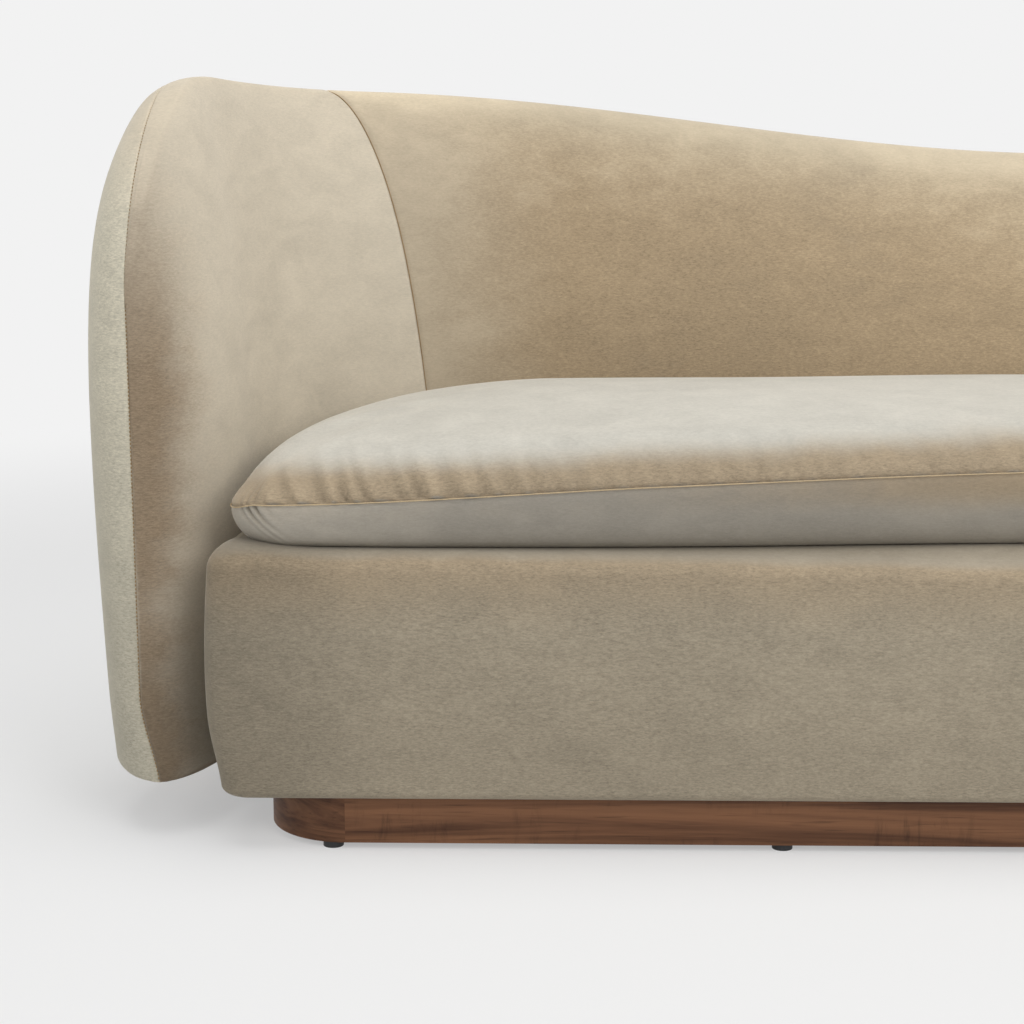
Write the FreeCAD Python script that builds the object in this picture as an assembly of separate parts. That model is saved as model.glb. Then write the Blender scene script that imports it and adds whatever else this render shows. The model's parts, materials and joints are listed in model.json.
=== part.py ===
import FreeCAD, Part
import math
import os

# Curved sofa: an upholstered seat box on a wooden plinth, with one padded wall that runs round both
# arms and the back, and one loose bench cushion. Millimetres and degrees. X runs to the right of a
# person who faces the sofa, Y to its back, Z up. The origin is on the floor, in the middle of the
# footprint.

V = FreeCAD.Vector

# Plan of the wall's inside face
seat_depth = 627.0             # seat box front to the back's inside face, on the middle plane
inside_half_width = 1086.0     # middle plane to an arm's inside face, at the arm's front end
arm_setback = 43.0             # seat box front to an arm's front end
arm_lean = 6.0                 # degrees that an arm turns inwards on its way back
corner_radius = 285.0
back_radius = 2185.0

# Section of the wall, outwards from its inside face
crest_out_arm = 26.0           # inside face to the crest, at an arm's front
crest_out_back = 142.0
wall_arm = 147.0               # greatest thickness, at an arm's front
wall_back = 223.0
foot_arm = 134.0               # thickness at the bottom
foot_back = 150.0
crest_ease = 600.0             # length of wall over which the crest changes from arm to back
wall_ease = 900.0              # length of wall over which the thickness changes
arm_height = 805.0
back_height = 730.0            # height of the crest on the middle plane
crest_reach = 935.0            # distance from the middle plane where the crest is at arm height
arm_swell = 24.0               # extra height at the arm's front
swell_length = 420.0
widest_height = 450.0          # height of the wall's thickest place
flare_height = 400.0           # height where the inside face starts to lean back
flare_rise = 0.45              # upright share of the inside curve
flare_flat = 0.45              # level share of the inside curve
roll_fullness = 0.75           # squareness of the outside curve
seam_place = 0.34              # place of the top seam along the outside curve
panel_seam_place = 0.95              # place of the seam between arm and back along the corner
seam_slit = 0.0015             # half of the slit between the panels at the seam, as a share of that curve
nose_place = 0.59              # nose's foremost line, as a share of the thickness
nose_length = 90.0             # rounded front end of an arm
nose_round = 230.0             # rounding of an arm's top front corner
nose_start = 12.0              # degrees round the nose where its flat front ends
nose_step = 13.0               # degrees between the nose's sections

# Heights of the stack from the floor
glide_height = 7.0
plinth_height = 57.0
deck_height = 330.0            # top of the seat box
cushion_seam_height = 392.0
cushion_height = 456.0

# Padding and boards of the wall
pad_inside = 40.0
pad_top = 36.0
pad_outside = 14.0
board = 4.0
board_gap = 1.0                # pad to board
rib_gap = 5.0                  # board to rib
rib_thickness = 18.0
rib_count = 9
rib_start = 55.0               # rounded front end of an arm to the first rib's middle
wall_rail_thickness = 24.0
top_rail_width = 36.0
top_rail_drop = 44.0           # frame line to the top rail's upper face
top_rail_place = (0.2, 0.5, 0.3)  # shares of inside face, crest and outside in the top rail's place

# Seat box
box_gap = 4.0                  # wall's inside face to the seat box
side_pad = 16.0
front_pad = 30.0
box_corner = 26.0
box_edge = 12.0
seat_rail = 44.0               # thickness of side and rear rails
front_rail = 30.0
deck_cloth = 3.0
deck_foam = 48.0
deck_felt = 5.0
stretcher_width = 32.0
stretcher_height = 70.0
stretcher_offset = 430.0
corner_block = 84.0
corner_block_height = 150.0

# Seat springs
spring_count = 14
spring_spacing = 115.0
spring_wire = 3.8
spring_width = 50.0
spring_pitch = 24.0
clip_length = 22.0
clip_depth = 14.0
clip_height = 8.0

# Plinth
plinth_setback = 22.0          # behind the seat box front
plinth_inset = 40.0            # inside the seat box sides
plinth_thickness = 26.0
plinth_corner = 88.0
batten_height = 32.0
glide_diameter = 22.0
glide_count = 5                # along the front, and again along the rear
glide_spread = 480.0
dust_cloth = 1.0
dust_cloth_gap = 1.0

# Fasteners
screw_diameter = 6.0
screw_head = 12.0
screw_head_height = 6.0
screw_grip = 40.0              # length in the seat rail
screw_spread = 300.0
plinth_screw_count = 6         # along the front, and again along the rear
fit = 0.2                      # clearance round a fastener
plate_width = 40.0
plate_thickness = 3.0
plate_margin = 2.0             # plate end to the edge of the rail that it is screwed to
plate_screw_diameter = 4.0
plate_screw_head = 9.0
plate_screw_head_height = 2.5
plate_screw_grip = 16.0

# Cushion
cushion_side_gap = 20.0        # wall's inside face to the cushion's seam
cushion_front_gap = 8.0        # seat box front to the cushion's seam
cushion_corner = 75.0
cushion_cover = 4.0
cushion_wrap_gap = 1.0
cushion_edge = 46.0            # how far top and bottom panels round in from the seam
cushion_round = ((0.0, 0.0), (0.45, 0.10), (0.80, 0.42), (1.0, 1.0))  # shares up and in, seam to face

# Zip
zip_length = 900.0
zip_gap = 0.3                  # cushion to tape
zip_height = 18.0
zip_tape = 1.5
zip_coil = 1.5
zip_coil_height = 5.0
slider_length = 22.0
slider_height = 16.0
slider_thickness = 6.0
slider_gap = 0.4
pull_share = 0.48              # pull's length in the room between slider and deck
pull_width = 8.0
pull_thickness = 2.0

# Two places nearer than this are one place
near = 1e-6

# Values that follow
box_bottom = glide_height + plinth_height
deck_cloth_bottom = deck_height - deck_cloth
foam_bottom = deck_cloth_bottom - deck_foam
felt_bottom = foam_bottom - deck_felt
rail_top = felt_bottom - clip_height
overall_depth = seat_depth + wall_back
front_y = -overall_depth / 2
rail_out = box_gap + side_pad
rail_in = rail_out + seat_rail
plinth_out = box_gap + plinth_inset
plinth_in = plinth_out + plinth_thickness
plinth_front = front_y + plinth_setback
rail_front = front_y + front_pad
rail_back = rail_front + front_rail

# Plan line: a straight arm, a corner arc and a back arc about a centre on the middle plane
lean = math.radians(arm_lean)
arm_way = V(math.sin(lean), math.cos(lean), 0)
arm_out = V(-math.cos(lean), math.sin(lean), 0)
arm_start = V(-inside_half_width, front_y + arm_setback, 0)
back_centre = V(0, front_y + seat_depth - back_radius, 0)
from_back = arm_start - arm_out * corner_radius - back_centre
along = from_back.dot(arm_way)
arm_length = math.sqrt(along ** 2 - from_back.dot(from_back) + (back_radius - corner_radius) ** 2) - along
corner_centre = arm_start + arm_way * arm_length - arm_out * corner_radius
arm_angle = math.atan2(arm_out.y, arm_out.x)
back_angle = math.atan2(corner_centre.y - back_centre.y, corner_centre.x - back_centre.x)
back_start = arm_length + corner_radius * (arm_angle - back_angle)
half_path = back_start + back_radius * (back_angle - math.pi / 2)
path = 2 * half_path
seam = arm_length + (back_start - arm_length) * panel_seam_place
path_breaks = [arm_length, back_start, path - back_start, path - arm_length]

nodes = {}


def station(s):
    """Point on the plan line and the outward direction there, s along it from the left arm's front."""
    if s > half_path:
        point, out = station(path - s)
        return V(-point.x, point.y, 0), V(-out.x, out.y, 0)
    if s <= arm_length:
        return arm_start + arm_way * s, arm_out
    if s <= back_start:
        centre = corner_centre
        radius = corner_radius
        angle = arm_angle - (s - arm_length) / corner_radius
    else:
        centre = back_centre
        radius = back_radius
        angle = back_angle - (s - back_start) / back_radius
    out = V(math.cos(angle), math.sin(angle), 0)
    return centre + out * radius, out


def at(s, n, z):
    """Point n outside the plan line at s, at height z."""
    point, out = station(s)
    return V(point.x + out.x * n, point.y + out.y * n, z)


def mirror(shape):
    """The same shape on the other side of the middle plane."""
    return shape.mirror(V(0, 0, 0), V(1, 0, 0))


def box(x0, x1, y0, y1, z0, z1):
    return Part.makeBox(x1 - x0, y1 - y0, z1 - z0, V(x0, y0, z0))


def rod(diameter, z0, z1, place):
    """Upright round bar at a plan point."""
    return Part.makeCylinder(diameter / 2, z1 - z0, V(place.x, place.y, z0))


def prism(points, z0, z1):
    """Upright prism on a plan polygon."""
    corners = [V(p.x, p.y, z0) for p in points]
    return Part.Face(Part.makePolygon(corners + corners[:1])).extrude(V(0, 0, z1 - z0))


def plan_edges(s0, s1, n, z):
    """Lines and arcs of the plan line moved out by n, from s0 to s1."""
    stops = [s0] + [b for b in path_breaks if s0 < b < s1] + [s1]
    edges = []
    for a, b in zip(stops, stops[1:]):
        if b <= path_breaks[0] or a >= path_breaks[3]:
            edges.append(Part.makeLine(at(a, n, z), at(b, n, z)))
        else:
            edges.append(Part.Arc(at(a, n, z), at((a + b) / 2, n, z), at(b, n, z)).toShape())
    return edges


def strip(s0, s1, n0, n1, z0, z1):
    """Upright board that follows the plan line, from offset n0 to n1."""
    ends = [Part.makeLine(at(s, n0, z0), at(s, n1, z0)) for s in (s0, s1)]
    edges = plan_edges(s0, s1, n0, z0) + plan_edges(s0, s1, n1, z0) + ends
    return Part.Face(Part.Wire(Part.__sortEdges__(edges))).extrude(V(0, 0, z1 - z0))


def side_station(y, gap):
    """Place along the arm's line where its line, moved in by gap, is at y."""
    return (y - arm_start.y + arm_out.y * gap) / arm_way.y


def side_point(y, gap):
    return at(side_station(y, gap), -gap, 0)


def front_corner(y, gap, radius):
    """Arc between a front line at y and the left side line: its ends, middle, centre and path place."""
    s = side_station(y, gap)
    corner = at(s, -gap, 0)
    reach = radius / math.tan(math.acos(arm_way.x) / 2)
    first = corner + V(reach, 0, 0)
    last = at(s + reach, -gap, 0)
    centre = first + V(0, radius, 0)
    middle = centre + (corner - centre).normalize() * radius
    return first, middle, last, centre, s + reach


def outline(gap, y, radius, z):
    """Closed plan line of the seat: front at y, rounded front corners, and the wall's line moved in."""
    first, middle, last, centre, s = front_corner(y, gap, radius)
    left = [V(p.x, p.y, z) for p in (first, middle, last)]
    right = [V(-p.x, p.y, z) for p in (last, middle, first)]
    edges = [Part.Arc(*left).toShape()]
    edges += plan_edges(s, path - s, -gap, z)
    edges += [Part.Arc(*right).toShape(), Part.makeLine(right[2], left[0])]
    return Part.Wire(edges)


def plate(gap, y, radius, z0, z1):
    return Part.Face(outline(gap, y, radius, z0)).extrude(V(0, 0, z1 - z0))


def ease(x):
    """Smooth step from 0 to 1."""
    x = max(0.0, min(1.0, x))
    return x * x * (3 - 2 * x)


def wall_sizes(s):
    """Crest distance, greatest thickness, foot thickness and height of the wall at s."""
    s = min(s, path - s)
    crest = crest_out_arm + (crest_out_back - crest_out_arm) * ease(s / crest_ease)
    share = ease(s / wall_ease)
    thickness = wall_arm + (wall_back - wall_arm) * share
    foot = foot_arm + (foot_back - foot_arm) * share
    turn = math.pi * min(1.0, abs(station(s)[0].x) / crest_reach)
    height = back_height + (arm_height - back_height) * (1 - math.cos(turn)) / 2
    height += arm_swell * (1 - ease(s / swell_length))
    if s < nose_round:
        height -= nose_round - math.sqrt(nose_round ** 2 - (nose_round - s) ** 2)
    return crest, thickness, foot, height


def split(poles, t):
    """A cubic curve's poles before and after t."""
    mix = [poles]
    while len(mix[-1]) > 1:
        row = mix[-1]
        mix.append([(a[0] + (b[0] - a[0]) * t, a[1] + (b[1] - a[1]) * t) for a, b in zip(row, row[1:])])
    return [row[0] for row in mix], [row[-1] for row in reversed(mix)]


def section(s, inside=0.0, top=0.0, outside=0.0, squeeze=1.0):
    """Poles (n, z) of the wall's section, moved in by the three depths: inside face, inside curve,
    outside curve and outside face. squeeze narrows it about the nose's foremost line."""
    crest, thickness, foot, height = wall_sizes(s)
    middle = thickness * nose_place
    scale = (thickness - inside - outside) / thickness

    def place(n, z):
        return middle + (n - middle) * squeeze, z

    n0 = inside
    n1 = inside + crest * scale
    n2 = thickness - outside
    n3 = foot - outside
    z1 = height - top
    rise = flare_height + flare_rise * (z1 - flare_height)
    full = widest_height + roll_fullness * (z1 - widest_height)
    face = [place(n0, box_bottom), place(n0, flare_height)]
    curve = [place(n0, flare_height), place(n0, rise), place(n1 - flare_flat * (n1 - n0), z1), place(n1, z1)]
    roll = [place(n1, z1), place(n1 + roll_fullness * (n2 - n1), z1), place(n2, full), place(n2, widest_height)]
    low = [place(n2, widest_height), place(n2, (widest_height + box_bottom) / 2), place(n3, box_bottom)]
    return face, curve, roll, low


def loop(s, runs):
    """Closed wire through runs of poles, in the upright plane at s."""
    edges = []
    last = runs[-1][-1]
    for poles in runs:
        if math.dist(last, poles[0]) > near:
            edges.append(Part.makeLine(at(s, *last), at(s, *poles[0])))
        if len(poles) == 2:
            edges.append(Part.makeLine(at(s, *poles[0]), at(s, *poles[1])))
        else:
            curve = Part.BezierCurve()
            curve.setPoles([at(s, *p) for p in poles])
            edges.append(curve.toShape())
        last = poles[-1]
    return Part.Wire(edges)


def back_again(runs):
    return [poles[::-1] for poles in reversed(runs)]


def inside_runs(s, depths):
    """Runs of the inside face and over the crest to the seam."""
    face, curve, roll, low = section(s, *depths)
    return [face, curve, split(roll, seam_place - seam_slit)[0]]


def outside_runs(s, depths):
    """Runs from the seam down the outside."""
    face, curve, roll, low = section(s, *depths)
    return [split(roll, seam_place + seam_slit)[1], low]


def layer(s, runs, outer, inner):
    """Wire of the layer between two depths of the wall."""
    return loop(s, runs(s, outer) + back_again(runs(s, inner)))


def stations(s0, s1, step):
    count = math.ceil((s1 - s0) / step)
    return [s0 + (s1 - s0) * i / count for i in range(count + 1)]


def skin(wires):
    return Part.makeLoft(wires, True, False)


arm_step = 45.0
back_step = 170.0
wall_zones = {
    "left": stations(nose_length, seam, arm_step),
    "back": stations(seam, back_start, arm_step)[:-1] + stations(back_start, path - back_start, back_step)
            + stations(path - back_start, path - seam, arm_step)[1:],
}
surface = (0.0, 0.0, 0.0)
pad_line = (pad_inside, pad_top, pad_outside)
board_line = tuple(depth + board_gap for depth in pad_line)
board_back = tuple(depth + board for depth in board_line)
frame_line = tuple(depth + rib_gap for depth in board_back)


def add_pair(name, left):
    """A left piece and its mirror image."""
    nodes[name + "_left"] = left
    nodes[name + "_right"] = mirror(left)


def add_wall_layer(name, runs, outer, inner):
    """One layer of the wall in three pieces: left arm, back and right arm."""
    nodes[name + "_back"] = skin([layer(s, runs, outer, inner) for s in wall_zones["back"]])
    add_pair(name, skin([layer(s, runs, outer, inner) for s in wall_zones["left"]]))


def make_wall_padding():
    """Inside pads, outside pads, the boards under them and the rounded front ends of the arms."""
    add_wall_layer("inside_pad", inside_runs, surface, pad_line)
    add_wall_layer("outside_pad", outside_runs, surface, pad_line)
    add_wall_layer("inside_board", inside_runs, board_line, board_back)
    add_wall_layer("outside_board", outside_runs, board_line, board_back)
    wires = []
    for angle in stations(nose_start, 90.0, nose_step):
        turn = math.radians(angle)
        s = nose_length * (1 - math.cos(turn))
        wires.append(loop(s, section(s, squeeze=math.sin(turn))))
    add_pair("arm_front_pad", skin(wires))


def top_rail_wire(s):
    face, curve, roll, low = section(s, *frame_line)
    z = roll[0][1]
    middle = sum(share * run[0][0] for share, run in zip(top_rail_place, (face, roll, low)))
    n0 = middle - top_rail_width / 2
    n1 = middle + top_rail_width / 2
    z1 = z - top_rail_drop
    z0 = z1 - wall_rail_thickness
    return loop(s, [[(n0, z0), (n1, z0)], [(n1, z0), (n1, z1)], [(n1, z1), (n0, z1)], [(n0, z1), (n0, z0)]])


wall_rail_in = frame_line[0]
wall_rail_out = foot_arm - frame_line[2]
wall_rail_top = box_bottom + wall_rail_thickness


def plate_stations():
    """Places along the wall where steel plates tie it to the seat rails."""
    left = [nose_length + plate_width, (arm_length + 3 * back_start) / 4, back_start + plate_width,
            (back_start + half_path) / 2]
    return left + [path - s for s in left]


plate_in = plate_margin - plinth_out
plate_screw_places = [(plate_in - rail_out) / 2, (wall_rail_in + wall_rail_out) / 2]


def plate_screws(extra):
    """Screws of the tie plates, or their holes where extra is the clearance."""
    screws = []
    for s in plate_stations():
        for n in plate_screw_places:
            place = at(s, n, 0)
            low = box_bottom - plate_thickness
            shank = rod(plate_screw_diameter + 2 * extra, low, box_bottom + plate_screw_grip + extra, place)
            head = rod(plate_screw_head, low - plate_screw_head_height, low, place)
            screws.append(shank.fuse(head))
    return Part.makeCompound(screws)


def plinth_screw_places():
    """Plan points over which both the plinth and the seat rails have wood."""
    middle = (rail_front + plinth_front + plinth_thickness) / 2
    inset = (rail_in + plinth_out) / 2
    steps = [i - (plinth_screw_count - 1) / 2 for i in range(plinth_screw_count)]
    front = [V(i * screw_spread, middle, 0) for i in steps]
    rear = [at(half_path + i * screw_spread, -inset, 0) for i in steps]
    return front + rear


def plinth_screws(extra):
    """Screws up through the plinth into the seat rails, or their holes."""
    screws = []
    for place in plinth_screw_places():
        shank = rod(screw_diameter + 2 * extra, glide_height, box_bottom + screw_grip + extra, place)
        head = rod(screw_head + 2 * extra, glide_height, glide_height + screw_head_height + extra, place)
        screws.append(shank.fuse(head))
    return Part.makeCompound(screws)


def make_wall_frame():
    """Curved top and bottom rails and the ribs between them."""
    holes = plate_screws(fit)
    left = strip(nose_length + board_gap, seam, wall_rail_in, wall_rail_out, box_bottom, wall_rail_top)
    back = strip(seam, path - seam, wall_rail_in, wall_rail_out, box_bottom, wall_rail_top)
    add_pair("wall_bottom_rail", left.cut(holes))
    nodes["wall_bottom_rail_back"] = back.cut(holes)
    start = [nose_length + board_gap] + wall_zones["left"][1:]
    add_pair("wall_top_rail", skin([top_rail_wire(s) for s in start]))
    nodes["wall_top_rail_back"] = skin([top_rail_wire(s) for s in wall_zones["back"]])
    rails = [nodes[end + side] for end in ("wall_bottom_rail", "wall_top_rail")
             for side in ("_left", "_back", "_right")]
    first = nose_length + rib_start
    for i in range(rib_count):
        s = first + (path - 2 * first) * i / (rib_count - 1)
        face = Part.Face(loop(s, section(s, *frame_line)))
        out = station(s)[1]
        way = V(-out.y, out.x, 0) * (rib_thickness / 2)
        rib = face.translated(way * -1).extrude(way * 2)
        for rail in rails:
            rib = rib.cut(rail)
        nodes["wall_rib_%02d" % (i + 1)] = rib.cut(holes)


def make_seat_frame():
    """Front rail, shaped side and rear rails, stretchers and corner blocks."""
    holes = Part.makeCompound([plate_screws(fit), plinth_screws(fit)])
    ends = [side_point(y, rail_out) for y in (rail_front, rail_back)]
    points = ends + [V(-p.x, p.y, 0) for p in reversed(ends)]
    nodes["seat_front_rail"] = prism(points, box_bottom, rail_top).cut(holes)
    ahead = box(-inside_half_width, inside_half_width, front_y, rail_back, box_bottom, rail_top)
    start = side_station(rail_back, rail_out) - front_rail
    side = strip(start, back_start, -rail_in, -rail_out, box_bottom, rail_top).cut(ahead)
    add_pair("seat_side_rail", side.cut(holes))
    rear = strip(back_start, path - back_start, -rail_in, -rail_out, box_bottom, rail_top)
    nodes["seat_rear_rail"] = rear.cut(holes)
    nodes["seat_stretchers"] = cross_bars(rail_back, rear, box_bottom, box_bottom + stretcher_height)
    corner = side_point(rail_back, rail_in)
    points = [corner, corner + V(corner_block, 0, 0), corner + arm_way * corner_block]
    block = prism(points, box_bottom, box_bottom + corner_block_height)
    nodes["seat_corner_blocks"] = Part.makeCompound([block, mirror(block)])


def cross_bars(y, rear, z0, z1):
    """Three bars from a front rail's back face at y to a curved rear rail."""
    bars = []
    for x in (-stretcher_offset, 0.0, stretcher_offset):
        bar = box(x - stretcher_width / 2, x + stretcher_width / 2, y, back_centre.y + back_radius, z0, z1)
        bars.append(min(bar.cut(rear).Solids, key=lambda solid: solid.CenterOfMass.y))
    return Part.makeCompound(bars)


def rear_rail_y(x):
    """Y of the middle of the seat's rear rail at x."""
    radius = back_radius - (rail_out + rail_in) / 2
    return back_centre.y + math.sqrt(radius ** 2 - x ** 2)


def zigzag(x, y0, y1, z):
    """Sinuous spring: level runs joined by half rounds, from y0 to y1."""
    runs = round((y1 - y0) / spring_pitch)
    pitch = (y1 - y0) / runs
    reach = (spring_width - pitch) / 2
    edges = []
    for i in range(runs + 1):
        side = 1 if i % 2 == 0 else -1
        y = y0 + i * pitch
        edges.append(Part.makeLine(V(x - side * reach, y, z), V(x + side * reach, y, z)))
        if i < runs:
            turn = [V(x + side * reach, y, z), V(x + side * (reach + pitch / 2), y + pitch / 2, z),
                    V(x + side * reach, y + pitch, z)]
            edges.append(Part.Arc(*turn).toShape())
    start = V(x - reach, y0, z)
    ring = Part.Wire(Part.makeCircle(spring_wire / 2, start, V(1, 0, 0)))
    return Part.Wire(edges).makePipeShell([ring], True, False)


def make_springs():
    """Sinuous springs from the front rail to the rear rail, and the clips that hold their ends."""
    springs = []
    clips = []
    z = rail_top + clip_height / 2
    for i in range(spring_count):
        x = (i - (spring_count - 1) / 2) * spring_spacing
        y0 = (rail_front + rail_back) / 2
        y1 = rear_rail_y(x)
        springs.append(zigzag(x, y0, y1, z))
        for y in (y0, y1):
            block = box(x - clip_length / 2, x + clip_length / 2, y - clip_depth / 2, y + clip_depth / 2,
                        rail_top, rail_top + clip_height)
            bore = Part.makeCylinder(spring_wire / 2 + fit, clip_length, V(x - clip_length / 2, y, z), V(1, 0, 0))
            clips.append(block.cut(bore))
    nodes["seat_springs"] = Part.makeCompound(springs)
    nodes["spring_clips"] = Part.makeCompound(clips)


def make_seat_padding():
    """Felt, foam and cloth of the deck, and the pads on the front and sides of the seat box."""
    nodes["deck_felt"] = plate(box_gap, rail_front, box_edge, felt_bottom, foam_bottom)
    nodes["deck_foam"] = plate(box_gap, rail_front, box_edge, foam_bottom, deck_cloth_bottom)
    nodes["deck_cloth"] = plate(box_gap, rail_front, box_edge, deck_cloth_bottom, deck_height)
    whole = plate(box_gap, front_y, box_corner, box_bottom, deck_height)
    front = whole.common(box(-inside_half_width, inside_half_width, front_y, rail_front, box_bottom, deck_height))
    rims = []
    for edge in front.Edges:
        level = max(v.Z for v in edge.Vertexes) - min(v.Z for v in edge.Vertexes) < near
        if level and min(v.Y for v in edge.Vertexes) < rail_front - near:
            rims.append(edge)
    nodes["seat_front_pad"] = front.makeFillet(box_edge, rims)
    start = side_station(rail_front, rail_out)
    reach = inside_half_width + front_pad
    ahead = box(-reach, reach, front_y - front_pad, rail_front, box_bottom, felt_bottom)
    pad = strip(start - front_pad, back_start, -rail_out, -box_gap, box_bottom, felt_bottom)
    add_pair("seat_side_pad", pad.cut(ahead))


def make_plinth():
    """Wooden plinth of straight, shaped and corner pieces, with battens, glides and a dust cloth."""
    holes = plinth_screws(fit)
    first, middle, last, centre, s = front_corner(plinth_front, plinth_out, plinth_corner)
    back_face = plinth_front + plinth_thickness
    rail = box(first.x, -first.x, plinth_front, back_face, glide_height, box_bottom)
    nodes["plinth_front_rail"] = rail.cut(holes)
    inner = (plinth_corner - plinth_thickness) / plinth_corner
    turn = [centre + (p - centre) * inner for p in (last, middle, first)]
    edges = [Part.Arc(first, middle, last).toShape(), Part.makeLine(last, turn[0]),
             Part.Arc(*turn).toShape(), Part.makeLine(turn[2], first)]
    corner = Part.Face(Part.Wire(edges)).extrude(V(0, 0, plinth_height))
    add_pair("plinth_corner", corner.translated(V(0, 0, glide_height)))
    side = strip(s, back_start, -plinth_in, -plinth_out, glide_height, box_bottom)
    add_pair("plinth_side_rail", side.cut(holes))
    rear = strip(back_start, path - back_start, -plinth_in, -plinth_out, glide_height, box_bottom)
    nodes["plinth_rear_rail"] = rear.cut(holes)
    batten_top = box_bottom - dust_cloth
    nodes["plinth_battens"] = cross_bars(back_face, rear, batten_top - batten_height, batten_top)
    inner_corner = plinth_corner - plinth_thickness - dust_cloth_gap
    nodes["dust_cloth"] = plate(plinth_in + dust_cloth_gap, back_face + dust_cloth_gap, inner_corner,
                                batten_top, box_bottom)
    steps = [i - (glide_count - 1) / 2 for i in range(glide_count)]
    places = [V(i * glide_spread, plinth_front + plinth_thickness / 2, 0) for i in steps]
    places += [at(half_path + i * glide_spread, -(plinth_in + plinth_out) / 2, 0) for i in steps]
    nodes["floor_glides"] = Part.makeCompound([rod(glide_diameter, 0, glide_height, p) for p in places])
    nodes["plinth_screws"] = plinth_screws(0.0)


def make_tie_plates():
    """Steel plates under the seat that tie the wall's bottom rail to the seat rails."""
    plates = []
    for s in plate_stations():
        out = station(s)[1]
        way = V(-out.y, out.x, 0) * (plate_width / 2)
        a = at(s, plate_in, 0)
        b = at(s, wall_rail_out - plate_margin, 0)
        plates.append(prism([a - way, b - way, b + way, a + way], box_bottom - plate_thickness, box_bottom))
    holes = plate_screws(fit)
    nodes["tie_plates"] = Part.makeCompound([p.cut(holes) for p in plates])
    nodes["tie_plate_screws"] = plate_screws(0.0)


def cushion_half(z_seam, z_far, inset):
    """Upper or lower half of the cushion, inset from its outside, from the seam to a flat face."""
    rise = z_far - z_seam
    gap = cushion_side_gap + inset
    y = front_y + cushion_front_gap + inset
    wires = []
    for up, inward in cushion_round:
        shift = cushion_edge * inward
        wires.append(outline(gap + shift, y + shift, cushion_corner, z_seam + rise * up))
    return skin(wires)


def make_cushion():
    """Loose bench cushion: two cover panels joined at a seam, and a foam core."""
    seam_z = cushion_seam_height
    for name, far in (("cushion_top_panel", cushion_height), ("cushion_bottom_panel", deck_height)):
        side = math.copysign(1.0, far - seam_z)
        hollow = cushion_half(seam_z, far - side * cushion_cover, cushion_cover)
        nodes[name] = cushion_half(seam_z, far, 0.0).cut(hollow)
    room = cushion_cover + cushion_wrap_gap
    upper = cushion_half(seam_z, cushion_height - room, room)
    lower = cushion_half(seam_z, deck_height + room, room)
    nodes["cushion_core"] = upper.fuse(lower).removeSplitter()


def make_zip():
    """Zip along the cushion's rear seam: tape, coil and slider with its pull."""
    z = cushion_seam_height
    s0 = half_path - zip_length / 2
    s1 = half_path + zip_length / 2
    n0 = zip_gap - cushion_side_gap
    n1 = n0 + zip_tape
    n2 = n1 + zip_coil
    tape = strip(s0, s1, n0, n1, z - zip_height / 2, z + zip_height / 2)
    coil = strip(s0, s1, n1, n2, z - zip_coil_height / 2, z + zip_coil_height / 2)
    nodes["zip_tape"] = tape.fuse(coil).removeSplitter()
    n3 = n2 + slider_gap
    n4 = n3 + slider_thickness
    body = strip(s0, s0 + slider_length, n3, n4, z - slider_height / 2, z + slider_height / 2)
    middle = s0 + slider_length / 2
    low = z - slider_height / 2
    end = low - pull_share * (low - deck_height)
    tab = strip(middle - pull_width / 2, middle + pull_width / 2, n4 - pull_thickness, n4,
                end, z)
    nodes["zip_slider"] = body.fuse(tab).removeSplitter()


make_wall_padding()
make_wall_frame()
make_seat_frame()
make_springs()
make_seat_padding()
make_plinth()
make_tie_plates()
make_cushion()
make_zip()

os.makedirs("parts", exist_ok=True)
for node, shape in nodes.items():
    shape.exportStep("parts/" + node + ".step")
    print(node, len(shape.Solids), shape.isValid(), round(shape.Volume / 1000.0), "cm3")
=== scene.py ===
import json
import math

import bmesh
import bpy
import numpy as np
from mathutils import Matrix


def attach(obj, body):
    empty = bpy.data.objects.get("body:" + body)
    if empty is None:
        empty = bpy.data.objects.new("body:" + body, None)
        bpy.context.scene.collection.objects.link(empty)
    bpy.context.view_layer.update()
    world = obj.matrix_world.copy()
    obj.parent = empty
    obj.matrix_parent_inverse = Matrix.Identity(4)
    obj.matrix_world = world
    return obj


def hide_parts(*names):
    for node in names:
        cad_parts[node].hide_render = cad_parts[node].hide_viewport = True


bl_info = {
    "name": "Curved sofa",
    "version": (1, 0, 0),
    "blender": (4, 5, 0),
    "location": "3D View > Sidebar > Sofa",
    "description": "Velvet covers, seams and finishes of a curved sofa",
    "category": "Object",
}

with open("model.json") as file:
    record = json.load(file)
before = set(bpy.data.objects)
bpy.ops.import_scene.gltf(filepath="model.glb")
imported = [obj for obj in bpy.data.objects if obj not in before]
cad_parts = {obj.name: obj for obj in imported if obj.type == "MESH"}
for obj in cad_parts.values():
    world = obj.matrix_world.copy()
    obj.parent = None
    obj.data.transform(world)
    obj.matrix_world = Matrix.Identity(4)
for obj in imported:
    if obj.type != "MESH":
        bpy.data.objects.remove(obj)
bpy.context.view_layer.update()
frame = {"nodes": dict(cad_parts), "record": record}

# How finely curves are measured, how near points are merged, and the sides of threads
CURVE_SAMPLES = 4000
MERGE_DISTANCE = 4e-6
THREAD_SIDES = 6

# Steps of the grids: plain, finest at a mark, and the reach of fine ones round it
WALL_STEPS = (0.0085, 0.0020, 0.012)
ROLL_STEPS = (0.020, 0.0044, 0.022)
BOX_STEPS = (0.009, 0.004, 0.03)
CUSHION_STEPS = (0.0062, 0.0030, 0.04)

# Unevenness of the padding, in metres
WALL_RIPPLE = 0.0011
BOX_RIPPLE = 0.0008
CUSHION_RIPPLE = 0.0022

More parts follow.
